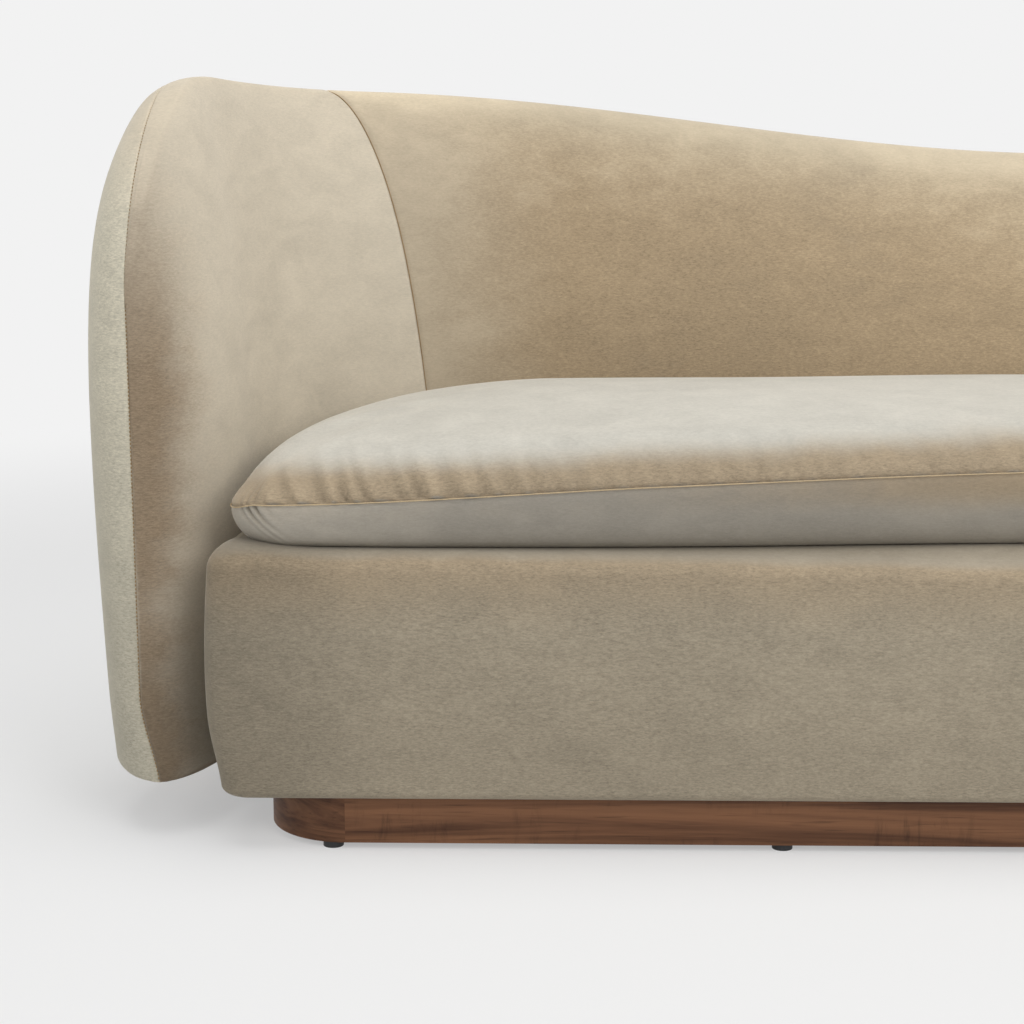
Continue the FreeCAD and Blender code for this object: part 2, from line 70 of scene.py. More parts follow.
# Stitches and threads: how deep they lie, in groove depths, and the cushion's thread, in wall threads
STITCH_SINK = 0.62
THREAD_SINK = 0.6
CUSHION_THREAD = 1.35

# Spines end where the edge line is this far from the middle plane
SPINE_SPREAD = 0.84

# Seat box: spine of its deck (half length, y), width of its hem, where its front begins (y, run), and
# where its front corners stand up (x, y, reach)
DECK_SPINE = (0.6, -0.16)
HEM_WIDTH = 0.05
BOX_FRONT = (-0.33, 0.05)
BOX_CORNER = (1.045, -0.385, 0.045)

# Cushion: half its length, where its front begins (y, run) and its front corners swell (x, y, reach), the
# groove at its seam (depth, half width), power of its crown, and depth of its puckers
CUSHION_END = 1.06
CUSHION_FRONT = (-0.30, 0.06)
CUSHION_CORNER = (1.064, -0.315, 0.05)
CUSHION_GROOVE = (0.0019, 0.0028)
CROWN_POWER = 2.35
PUCKER_DEPTH = 0.0072

# Its corner folds: where they lie (x, y, reach), and place and depth of each. Its creases above and below
# the seam: depth of the puckers, then slope, height and strength of the folds
FOLD_CORNER = (1.035, -0.402, 0.036)
FOLDS = ((0.030, 0.0036), (0.039, 0.0062), (0.048, 0.0062), (0.060, 0.0024))
CREASES_ABOVE = (PUCKER_DEPTH, 0.35, 0.010, 0.6)
CREASES_BELOW = (0.0006, -0.60, 0.022, 1.0)

# Camera: lens and sensor in millimetres, place in metres, tilt and turn in degrees
LENS = 66.8
SENSOR = 36.0
CAMERA_PLACE = (-0.7315, -2.325, 0.7258)
CAMERA_TILT = 10.6
CAMERA_TURN = 1.1

# Lamps: name, place, target, size in metres, power in watts
LAMPS = (
    ("top_light", (-0.4, -0.6, 3.4), (0.0, 0.0, 0.3), 3.2, 70.0),
    ("front_light", (1.5, -3.4, 2.3), (-0.3, 0.0, 0.4), 2.4, 62.0),
    ("left_light", (-3.6, -1.4, 2.0), (-0.6, 0.0, 0.4), 1.8, 22.0),
    ("rear_light", (1.5, 3.4, 2.6), (0.0, 0.2, 0.4), 2.4, 40.0),
)
SKY_STRENGTH = 0.34
FLOOR_RADIUS = 40.0
FLOOR_GREY = 0.78

# Finishes of hidden and small parts by slot: name, light and dark colour, stretch of the grain, roughness,
# metal, relief
PLAIN_FINISHES = {
    "frame_wood": ("frame_pine", (0.52, 0.36, 0.19), (0.42, 0.27, 0.13), (5.0, 40.0, 40.0), 0.6),
    "hardboard": ("hardboard", (0.24, 0.14, 0.07), (0.19, 0.11, 0.055), (160.0,) * 3, 0.7),
    "foam": ("foam", (0.72, 0.64, 0.40), (0.66, 0.57, 0.34), (220.0,) * 3, 0.95, 0.0, 0.4),
    "felt": ("felt", (0.20, 0.19, 0.18), (0.11, 0.11, 0.11), (180.0,) * 3, 0.95),
    "dust_cloth": ("dust_cloth", (0.022, 0.022, 0.023), (0.013, 0.013, 0.014), (300.0,) * 3, 0.9),
    "spring_steel": ("spring_steel", (0.32, 0.32, 0.33), (0.22, 0.22, 0.23), (60.0,) * 3, 0.4, 1.0),
    "screw_steel": ("screw_zinc", (0.52, 0.49, 0.40), (0.42, 0.39, 0.31), (90.0,) * 3, 0.35, 1.0),
    "glide_plastic": ("glide_nylon", (0.016, 0.016, 0.017), (0.011, 0.011, 0.012), (120.0,) * 3, 0.5),
    "zip_tape": ("zip_tape", (0.42, 0.34, 0.23), (0.33, 0.26, 0.17), (700.0, 700.0, 300.0), 0.9, 0.0, 0.4),
    "zip_metal": ("zip_metal", (0.30, 0.25, 0.17), (0.20, 0.17, 0.12), (150.0,) * 3, 0.35, 1.0),
}


# Properties


def length(name, words, default):
    return bpy.props.FloatProperty(name=name, description=words, default=default, unit="LENGTH", precision=4)


def share(name, words, default):
    return bpy.props.FloatProperty(name=name, description=words, default=default, subtype="FACTOR")


def angle(name, words, degrees):
    return bpy.props.FloatProperty(name=name, description=words, default=math.radians(degrees),
                                   subtype="ANGLE")


def paint(name, words, rgb):
    return bpy.props.FloatVectorProperty(name=name, description=words, default=rgb, subtype="COLOR",
                                         min=0.0, max=1.0)


class SofaWallSizes(bpy.types.PropertyGroup):
    """Sizes of the padded wall that runs round the arms and the back."""

    seat_depth: length("Seat depth", "Seat box front to the back's inside face", 0.627)
    inside_half_width: length("Inside half width", "Middle plane to an arm's inside face", 1.086)
    arm_setback: length("Arm setback", "Seat box front to an arm's front end", 0.043)
    arm_lean: angle("Arm lean", "Turn of an arm inwards on its way back", 6.0)
    corner_radius: length("Corner radius", "Radius of the plan line's corners", 0.285)
    back_radius: length("Back radius", "Radius of the plan line's back", 2.185)
    crest_arm: length("Crest at the arm", "Inside face to the crest at an arm's front", 0.055)
    crest_back: length("Crest at the back", "Inside face to the crest at the back", 0.142)
    wall_arm: length("Arm thickness", "Greatest thickness at an arm's front", 0.147)
    wall_back: length("Back thickness", "Greatest thickness at the back", 0.223)
    foot_arm: length("Arm foot", "Thickness of an arm at its bottom", 0.134)
    foot_back: length("Back foot", "Thickness of the back at its bottom", 0.150)
    crest_ease: length("Crest run", "Length of wall over which the crest changes", 0.890)
    wall_ease: length("Thickness run", "Length of wall over which the thickness changes", 0.900)
    arm_height: length("Arm height", "Height of the crest over the arms", 0.805)
    back_height: length("Back height", "Height of the crest on the middle plane", 0.730)
    crest_reach: length("Crest reach", "Middle plane to where the crest is at arm height", 0.935)
    arm_swell: length("Arm swell", "Extra height at an arm's front", 0.018)
    swell_length: length("Swell length", "Length of wall over which the swell fades", 0.460)
    widest_height: length("Widest height", "Height of the wall's thickest place", 0.450)
    flare_height: length("Flare height", "Height where the inside face starts to lean back", 0.400)
    flare_rise: share("Flare rise", "Upright share of the inside curve", 0.40)
    flare_flat: share("Flare flat", "Level share of the inside curve", 0.55)
    roll_fullness: share("Roll fullness", "Squareness of the outside curve", 0.75)
    seam_place: share("Top seam", "Place of the top seam along the outside curve", 0.34)
    nose_length: length("Nose length", "Length of an arm's rounded front end", 0.090)
    nose_inside: length("Inside nose length", "Length over which an arm's inside sweeps to the front", 0.170)
    nose_place: share("Nose place", "An arm's foremost line, as a share of its thickness", 0.556)
    nose_tuck: share("Nose tuck", "How far that line draws in at the bottom, as such a share", 0.13)
    nose_round: length("Nose rounding", "Rounding of an arm's top front corner", 0.246)
    seam_lift: share("Seam lift", "How much nearer the crest the top seam is over the nose", 0.215)
    seam_bend: length("Seam bend", "Rounding of the stitched seam's top corner", 0.042)
    panel_seam: length("Panel seam", "Arm's front to the seam between arm and back", 0.484)
    panel_lean: length("Panel seam lean", "How far that seam leans towards the arm as it rises", 0.085)
    groove_depth: length("Groove depth", "Depth of the seams' grooves", 0.0022)
    groove_width: length("Groove width", "Half width of the seams' grooves", 0.0024)
    hem_round: length("Hem rounding", "Rounding of the wall's bottom edges", 0.014)
    hem_inside: length("Inside hem", "Inside face to the end of the inside hem", 0.053)
    hem_outside: length("Outside hem", "Inside face to the end of the outside hem", 0.109)
    stitch_pitch: length("Stitch pitch", "Distance between stitches", 0.0042)
    stitch_length: length("Stitch length", "Length of one stitch", 0.0027)
    stitch_radius: length("Stitch radius", "Radius of one stitch", 0.0006)
    thread_radius: length("Thread radius", "Radius of the thread in a plain seam", 0.0005)


class SofaSeatSizes(bpy.types.PropertyGroup):
    """Sizes of the seat box and the loose cushion."""

    box_bottom: length("Box bottom", "Height of the wall's bottom edge", 0.064)
    box_hem: length("Box hem", "How far the seat box's cover hangs below that", 0.005)
    deck_height: length("Deck height", "Height of the seat box's top", 0.330)
    box_gap: length("Box gap", "Wall's inside face to the seat box", 0.004)
    box_corner: length("Box corner", "Plan radius of the box's front corners", 0.026)
    box_edge: length("Box edge", "Rounding of the box's top edge", 0.021)
    box_foot: length("Box foot", "Rounding of the box's bottom edge", 0.010)
    box_bulge: length("Box bulge", "How far the padding stands out at half height", 0.006)
    corner_hump: length("Corner hump", "Extra height at the box's top corners", 0.006)
    deck_sink: length("Deck sink", "How far the deck sinks under the cushion's front", 0.0045)
    edge_slump: length("Edge slump", "How much further the front edge sinks at the middle", 0.010)
    cushion_side_gap: length("Cushion side gap", "Wall's inside face to the cushion's seam", 0.020)
    cushion_front_gap: length("Cushion front gap", "Seat box front to the cushion's seam", 0.008)
    cushion_corner: length("Cushion corner", "Plan radius of the cushion's front corners", 0.050)
    cushion_seam: length("Cushion seam", "Height of the cushion's rear seam", 0.392)
    seam_low: length("Seam low", "Height of the front seam at the ends", 0.374)
    seam_rise: length("Seam rise", "Rise of the front seam to the middle", 0.026)
    seam_step: length("Seam step", "Quick rise of the front seam next to the ends", 0.009)
    cushion_bow: length("Cushion bow", "How far the front seam draws back at the middle", 0.036)
    front_reach: length("Front reach", "How far the top panel rounds in from the front seam", 0.0767)
    front_rise: length("Front rise", "Height of that rounding", 0.0397)
    end_reach: length("End reach", "How far the top panel rounds in from the end seams", 0.1477)
    end_rise: length("End rise", "Height of that rounding", 0.0299)
    back_reach: length("Back reach", "How far the top panel rounds in from the rear seam", 0.0705)
    back_rise: length("Back rise", "Height of that rounding", 0.0403)
    corner_swell: length("Corner swell", "Extra height of the front corners", 0.0185)
    corner_pull: length("Corner pull", "How far the seam is pulled down at the front corners", 0.007)
    edge_fullness: share("Edge fullness", "Power of the edges' rounding", 1.8)
    cushion_edge_low: length("Lower edge", "How far the bottom panel rounds in from the seam", 0.028)
    end_edge_low: length("Lower end edge", "The same at the ends", 0.038)
    cushion_crown: length("Crown", "Height of the cushion's crown", 0.4604)
    spine_half: length("Half spine", "Half the length of the crown's middle line", 0.71)
    spine_y: length("Spine place", "Place of the crown's middle line, front to back", -0.030)


class SofaColours(bpy.types.PropertyGroup):
    """Colours of the covers and finishes."""

    arm_side: paint("Arm inside", "Velvet of the arms' inside panels", (0.580, 0.515, 0.410))
    arm_front: paint("Arm front", "The same where it faces the front", (0.270, 0.205, 0.138))
    back_face: paint("Back", "Velvet of the back's inside panel", (0.360, 0.275, 0.175))
    back_side: paint("Back ends", "The same where it turns to the side", (0.372, 0.314, 0.232))
    # The paler top colours of the wall are partly painted sheen of their grazing view.
    wall_top: paint("Wall top", "Velvet over the crest of arms and back", (0.560, 0.490, 0.380))
    back_top: paint("Back top", "Nap on the top of the back", (0.490, 0.415, 0.300))
    outside: paint("Outside", "Velvet of the outside panel", (0.580, 0.540, 0.430))
    box_face: paint("Seat box", "Velvet of the seat box", (0.325, 0.280, 0.208))
    box_top: paint("Seat box edge", "Velvet of the seat box's top edge", (0.345, 0.270, 0.180))
    deck: paint("Deck", "Velvet under the cushion and on the box's top edge", (0.340, 0.296, 0.228))
    # The cushion's pale top colour is partly painted sheen of its grazing view.
    cushion_top: paint("Cushion top", "Velvet of the cushion's top", (0.510, 0.490, 0.435))
    cushion_front: paint("Cushion front", "Velvet of the cushion's front roll", (0.325, 0.258, 0.176))
    cushion_under: paint("Cushion underside", "Velvet of the cushion's lower half", (0.315, 0.290, 0.247))
    thread: paint("Thread", "Seam thread", (0.30, 0.19, 0.08))
    cushion_thread: paint("Cushion thread", "Thread of the cushion's seam", (0.480, 0.365, 0.220))
    walnut: paint("Walnut", "Plinth wood", (0.205, 0.095, 0.046))
    walnut_dark: paint("Walnut grain", "Dark grain of the plinth wood", (0.062, 0.024, 0.011))
    backdrop: paint("Backdrop", "Plain ground behind the sofa", (0.888, 0.888, 0.888))


# Shapes


def smooth(x):
    """Smooth step 3x^2 - 2x^3, held at 0 and 1 outside."""
    x = np.clip(x, 0, 1)
    return x * x * (3 - 2 * x)


def bell(x, width):
    """Bell curve: e to the power of -(x / width)^2."""
    return np.exp(-(x / width) ** 2)


def ahead(y, start, run):
    """Smooth step to the front: 0 behind start, 1 from a run before it."""
    return smooth((start - y) / run)


def corner_bell(x, y, corner):
    """Bell curve of the distance to a corner (x, y, reach) or its mirror image."""
    return bell(np.hypot(np.abs(x) - corner[0], y - corner[1]), corner[2])


def running(steps, x):
    """Running integral of steps over x, by the trapezium rule."""
    return np.concatenate([[0], np.cumsum((steps[1:] + steps[:-1]) / 2 * np.diff(x))])


def mix(a, b, t):
    return a + (b - a) * t


def bezier(poles, t):
    """Bezier curve at t, by mixing neighbouring poles until one is left."""
    while len(poles) > 1:
        poles = [mix(a, b, t) for a, b in zip(poles, poles[1:])]
    return poles[0]


def spaced(low, high, marks, step, fine, reach):
    """Numbers from low to high, a step apart and as near as fine at the marks: the running sum of the
    density 1/step, raised in a bell round each mark, is divided evenly."""
    x = np.linspace(low, high, CURVE_SAMPLES)
    density = 1 / step + sum((1 / fine - 1 / step) * bell(x - mark, reach) for mark in marks)
    total = running(density, x)
    return np.interp(np.linspace(0, total[-1], math.ceil(total[-1]) + 1), total, x)


def unit(v):
    return v / np.maximum(np.linalg.norm(v, axis=-1, keepdims=True), 1e-12)


def grid_normals(points):
    """Unit normals of a grid of points: the cross product of its two differences."""
    return unit(np.cross(np.gradient(points, axis=0), np.gradient(points, axis=1)))


def cells(keep, flip):
    """Corner numbers of those cells of a grid of points that keep marks."""
    columns = keep.shape[1] + 1
    j, k = np.nonzero(keep)
    first = j * columns + k
    quads = np.stack([first, first + columns, first + columns + 1, first + 1], axis=1)
    return quads[:, ::-1] if flip else quads


def ring_cells(rows, columns):
    """Corner numbers of the cells of a grid whose columns close to a ring."""
    j, k = np.meshgrid(np.arange(rows - 1), np.arange(columns), indexing="ij")
    here = (j * columns + k).ravel()
    beside = (j * columns + (k + 1) % columns).ravel()
    return np.stack([here, here + columns, beside + columns, beside], axis=1)


def make_piece(name, parts, material, body, nodes=(), fields=None):
    """One smooth mesh from parts of (points, corner numbers). Points that meet are merged. fields are
    values per point of a single part, kept as attributes for the finish."""
    points = []
    corners = []
    offset = 0
    for part_points, part_corners in parts:
        used, numbers = np.unique(part_corners, return_inverse=True)
        points.append(part_points.reshape(-1, 3)[used])
        corners.append(numbers.reshape(part_corners.shape) + offset)
        offset += len(used)
    points = np.concatenate(points).astype(np.float32)
    corners = np.concatenate(corners).astype(np.int32)
    mesh = bpy.data.meshes.new(name)
    mesh.vertices.add(len(points))
    mesh.vertices.foreach_set("co", points.ravel())
    mesh.loops.add(corners.size)
    mesh.loops.foreach_set("vertex_index", corners.ravel())
    mesh.polygons.add(len(corners))
    mesh.polygons.foreach_set("loop_start", np.arange(0, corners.size, corners.shape[1], dtype=np.int32))
    mesh.update(calc_edges=True)
    for field, values in (fields or {}).items():
        layer = mesh.attributes.new(field, "FLOAT", "POINT")
        layer.data.foreach_set("value", np.ravel(values)[used].astype(np.float32))
    work = bmesh.new()
    work.from_mesh(mesh)
    bmesh.ops.remove_doubles(work, verts=work.verts, dist=MERGE_DISTANCE)
    work.to_mesh(mesh)
    work.free()
    mesh.polygons.foreach_set("use_smooth", np.ones(len(mesh.polygons), bool))
    mesh.update()
    piece = bpy.data.objects.new(name, mesh)
    bpy.context.scene.collection.objects.link(piece)
    mesh.materials.append(material)
    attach(piece, body)
    if nodes:
        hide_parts(*nodes)
    return piece


def tube(path, radius, up=(0.03, 0.02, 1.0), closed=False):
    """Round thread: a circle carried along a path, in the plane across it; a closed one meets its start."""
    way = np.roll(path, -1, axis=0) - np.roll(path, 1, axis=0) if closed else np.gradient(path, axis=0)
    way = unit(way)
    across = unit(np.cross(way, np.array(up)))
    rise = np.cross(across, way)
    turn = np.linspace(0, 2 * np.pi, THREAD_SIDES, endpoint=False)[None, :, None]
    points = path[:, None] + radius * (np.cos(turn) * across[:, None] + np.sin(turn) * rise[:, None])
    if closed:
        points = np.concatenate([points, points[:1]])
    return points, ring_cells(len(points), THREAD_SIDES)


def capsules(centres, way, rise, size, radius):
    """Stitches: for each centre, five rings along the way whose radii follow a rounded rod."""
    along = np.array([-1.0, -0.7, 0.0, 0.7, 1.0]) * size / 2
    swell = np.array([0.1, 0.8, 1.0, 0.8, 0.1]) * radius
    turn = np.linspace(0, 2 * np.pi, THREAD_SIDES, endpoint=False)
    across = np.cross(rise, way)
    spread = swell[:, None, None] * (np.cos(turn)[None, :, None] * across[:, None, None]
                                     + np.sin(turn)[None, :, None] * rise[:, None, None])
    points = centres[:, None, None] + along[None, :, None, None] * way[:, None, None] + spread
    each = ring_cells(along.size, THREAD_SIDES)
    first = np.arange(len(centres)) * along.size * THREAD_SIDES
    numbers = each[None] + first[:, None, None]
    return points.reshape(-1, 3), numbers.reshape(-1, 4)


def mirrored(points):
    return points * np.array([-1.0, 1.0, 1.0])


class Plan:
    """The wall's inside line on the floor: a straight arm that leans inwards, a corner arc, and a back
    arc about a centre on the middle plane. Distances run along it from the left arm's front."""

    def __init__(self):
        z = bpy.context.scene.sofa_wall
        self.front = -(z.seat_depth + z.wall_back) / 2
        self.way = np.array([math.sin(z.arm_lean), math.cos(z.arm_lean)])
        self.out = np.array([-math.cos(z.arm_lean), math.sin(z.arm_lean)])
        self.start = np.array([-z.inside_half_width, self.front + z.arm_setback])
        self.corner_radius = z.corner_radius
        self.back_radius = z.back_radius
        self.back_centre = np.array([0, self.front + z.seat_depth - z.back_radius])
        far = self.start - self.out * z.corner_radius - self.back_centre
        along = far @ self.way
        self.arm = math.sqrt(along ** 2 - far @ far + (z.back_radius - z.corner_radius) ** 2) - along
        self.corner_centre = self.start + self.way * self.arm - self.out * z.corner_radius
        self.arm_angle = math.atan2(self.out[1], self.out[0])
        away = self.corner_centre - self.back_centre
        self.back_angle = math.atan2(away[1], away[0])
        self.back = self.arm + z.corner_radius * (self.arm_angle - self.back_angle)
        self.middle = self.back + z.back_radius * (self.back_angle - math.pi / 2)

    def at(self, s, n):
        """Points n outside the line at distance s: the line's point plus n times its outward direction."""
        s, n = np.broadcast_arrays(np.asarray(s, float), np.asarray(n, float))
        corner = self.arm_angle - (s - self.arm) / self.corner_radius
        back = self.back_angle - (s - self.back) / self.back_radius
        turn = np.where(s <= self.arm, self.arm_angle, np.where(s <= self.back, corner, back))
        out = np.stack([np.cos(turn), np.sin(turn)], axis=-1)
        line = self.start + self.way * s[..., None]
        corner_point = self.corner_centre + out * self.corner_radius
        back_point = self.back_centre + out * self.back_radius
        point = np.where((s <= self.back)[..., None], corner_point, back_point)
        point = np.where((s <= self.arm)[..., None], line, point)
        return point + out * n[..., None]

    def loop(self, gap, front, radius, shares):
        """Closed seat lines, one for each gap, front and radius: from the front's middle to the left, a
        corner arc, the wall's line moved in by the gap, and the mirror image of all that."""
        gap, front, radius = (np.asarray(v, float)[:, None] for v in (gap, front, radius))
        front_share, corner_share, side_share = (v[None] for v in shares)
        s = (front - self.start[1] + self.out[1] * gap) / self.way[1]
        corner_x = self.start[0] + self.way[0] * s - self.out[0] * gap
        reach = radius / math.tan(math.acos(self.way[0]) / 2)
        first_x = corner_x + reach
        across = np.stack([first_x * front_share, front + 0 * front_share], axis=-1)
        turn = mix(1.5 * math.pi, self.arm_angle, corner_share)
        bend = np.stack([first_x + radius * np.cos(turn), front + radius + radius * np.sin(turn)], axis=-1)
        run = mix(s + reach, self.middle, side_share)
        side = self.at(run, -gap + 0 * run)
        half = np.concatenate([across, bend[:, 1:], side[:, 1:]], axis=1)
        other = half[:, -2:0:-1] * np.array([-1.0, 1.0])
        return np.concatenate([half, other], axis=1)


class Wall:
    """The padded wall as two surfaces, inside and outside, that meet along the crest and down the front
    of each arm. c runs along the wall from the arm's foremost line, r up the section to the crest."""

    # Values of r where the hem ends and at the crest, and metres to a unit of r on the outside curve
    face, crest = 1.0, 3.0
    unit_length = 0.41
    # The seam's lift over the nose ends in this run of c; the nose is tucked in below this height
    lift_start, lift_run = 0.20, 0.25
    tuck_height, tuck_run = 0.16, 0.11
    # How far below the wall's bottom the hem begins
    hem_drop = 0.0006

    def __init__(self):
        z = self.z = bpy.context.scene.sofa_wall
        self.bottom = bpy.context.scene.sofa_seat.box_bottom
        self.plan = Plan()
        self.turns = np.linspace(0, np.pi / 2, 600)
        step = np.hypot(z.nose_length * np.sin(self.turns), z.wall_arm / 2 * np.cos(self.turns))
        self.reach = running(step, self.turns)
        self.nose = self.reach[-1]
        self.end = self.nose + self.plan.middle - z.nose_length
        self.panel_seam = self.nose + z.panel_seam - z.nose_length
        self.top_seam = self.crest - z.seam_place

    def sizes(self, s):
        """Crest distance, thickness, foot thickness and height at s: smooth steps from arm to back, the
        height a half cosine over the width plus a swell at the arm, less a circle's rounding in front."""
        z = self.z
        crest = mix(z.crest_arm, z.crest_back, smooth(s / z.crest_ease))
        change = smooth(s / z.wall_ease)
        thick = mix(z.wall_arm, z.wall_back, change)
        foot = mix(z.foot_arm, z.foot_back, change)
        x = np.abs(self.plan.at(s, 0)[..., 0])
        turn = np.pi * np.minimum(1, x / z.crest_reach)
        height = mix(z.back_height, z.arm_height, (1 - np.cos(turn)) / 2)
        height = height + z.arm_swell * (1 - smooth(s / z.swell_length))
        short = np.clip(z.nose_round - s, 0, z.nose_round)
        height = height - (z.nose_round - np.sqrt(z.nose_round ** 2 - short ** 2))
        return crest, thick, foot, height

    def lean(self, r, outside):
        """Share of the panel seam's lean at r: inside a cubic with a bow below the crest, outside a step."""
        up = np.clip(r - 2, 0, 1)
        inside = up * (0.59 + 0.41 * up ** 2) + 0.65 * up ** 3 * (1 - up)
        return smooth((up - 0.3) / 0.7) if outside else inside

    def points(self, c, r, outside):
        """Surface points: hem, straight or bowed face, and a curve to the crest, each a unit of r, in the
        upright plane at c. Round the nose the section is squeezed to its foremost line, as two ellipses do,
        a long one inside and a short one outside."""
        z = self.z
        c, r = np.broadcast_arrays(np.asarray(c, float), np.asarray(r, float))
        window = bell(c - self.panel_seam, 0.15) * smooth(c / 0.1)
        c = c - z.panel_lean * self.lean(r, outside) * window
        turn = np.interp(c, self.reach, self.turns)
        s = np.where(c < self.nose, z.nose_length * (1 - np.cos(turn)), z.nose_length + c - self.nose)
        crest, thick, foot, height = self.sizes(s)
        low = np.clip(r, 0, 1)
        middle = np.clip(r - 1, 0, 1)
        high = np.clip(r - 2, 0, 1)
        flat = np.clip(low * 2, 0, 1)
        fold = np.clip(low * 2 - 1, 0, 1) * np.pi / 2
        edge = z.hem_round
        hem_z = self.bottom - self.hem_drop * (1 - flat) + edge * (1 - np.cos(fold))
        if outside:
            hem_n = mix(z.hem_outside, foot - edge, flat) + edge * np.sin(fold)
            face_n = bezier([foot, thick, thick], middle)
            halfway = (z.widest_height + self.bottom) / 2
            face_z = bezier([self.bottom + edge, halfway, z.widest_height], middle)
            full = mix(z.widest_height, height, z.roll_fullness)
            top_n = bezier([thick, thick, mix(crest, thick, z.roll_fullness), crest], high)
            top_z = bezier([z.widest_height, full, height, height], high)
        else:
            hem_n = mix(z.hem_inside, edge, flat) - edge * np.sin(fold)
            face_n = 0 * middle
            face_z = mix(self.bottom + edge, z.flare_height, middle)
            lift = mix(z.flare_height, height, z.flare_rise)
            top_n = bezier([0 * crest, 0 * crest, crest * (1 - z.flare_flat), crest], high)
            top_z = bezier([z.flare_height, lift, height, height], high)
        which = np.clip(r.astype(int), 0, 2)
        n = np.choose(which, [hem_n, face_n, top_n])
        height_here = np.choose(which, [hem_z, face_z, top_z])
        inner = np.sqrt(1 - (1 - np.minimum(1, s / z.nose_inside)) ** 2)
        squeeze = mix(inner, np.sin(turn), smooth(n / thick))
        tip = thick * (z.nose_place - z.nose_tuck * smooth((self.tuck_height - height_here) / self.tuck_run))
        n = tip + (n - tip) * squeeze
        return np.concatenate([self.plan.at(s, n), height_here[..., None]], axis=-1)

    def seam_height(self, c):
        """r of the top seam: nearer the crest over the nose."""
        return self.top_seam + self.z.seam_lift * (1 - smooth((c - self.lift_start) / self.lift_run))

    def inside_outside(self, c, r):
        """Distance to the stitched seam, positive on the outside panel: the nearer of its upright and its
        level run, rounded at their corner."""
        below = (self.seam_height(c) - r) * self.unit_length
        bend = self.z.seam_bend
        corner = bend - np.hypot(np.maximum(bend - c, 0), np.maximum(bend - below, 0))
        return np.where((c < bend) & (below < bend), corner, np.minimum(c, below))

    def seam_line(self):
        """c and r along the stitched seam, from the nose's bottom over its rounded corner to the middle."""
        bend = self.z.seam_bend
        turn = np.linspace(0, np.pi / 2, 200)[1:]
        start = self.seam_height(0.0) - bend / self.unit_length
        up = np.linspace(self.face - 0.35, start, 600)
        back = np.linspace(bend, self.end, 2400)[1:]
        c = np.concatenate([0 * up, bend * (1 - np.cos(turn)), back])
        corner = self.seam_height(bend) - bend * (1 - np.sin(turn)) / self.unit_length
        r = np.concatenate([up, corner, self.seam_height(back)])
        return c, r

    def normals(self, c, r, outside):
        """Unit normals out of the wall, by small steps of c and r."""
        step = 1e-3
        along = self.points(c + step, r, outside) - self.points(c - step, r, outside)
        up = self.points(c, r + step, outside) - self.points(c, r - step, outside)
        normal = unit(np.cross(along, up))
        return -normal if outside else normal


def ripple(points, size):
    """Gentle unevenness of padding: three sines across different directions."""
    x, y, z = points[..., 0], points[..., 1], points[..., 2]
    return size * (np.sin(7.1 * x + 3.3 * z + 1.0) + np.sin(9.7 * y - 6.1 * z + 4.0 * x)
                   + np.sin(12.9 * z + 5.2 * x + 2.0)) / 3


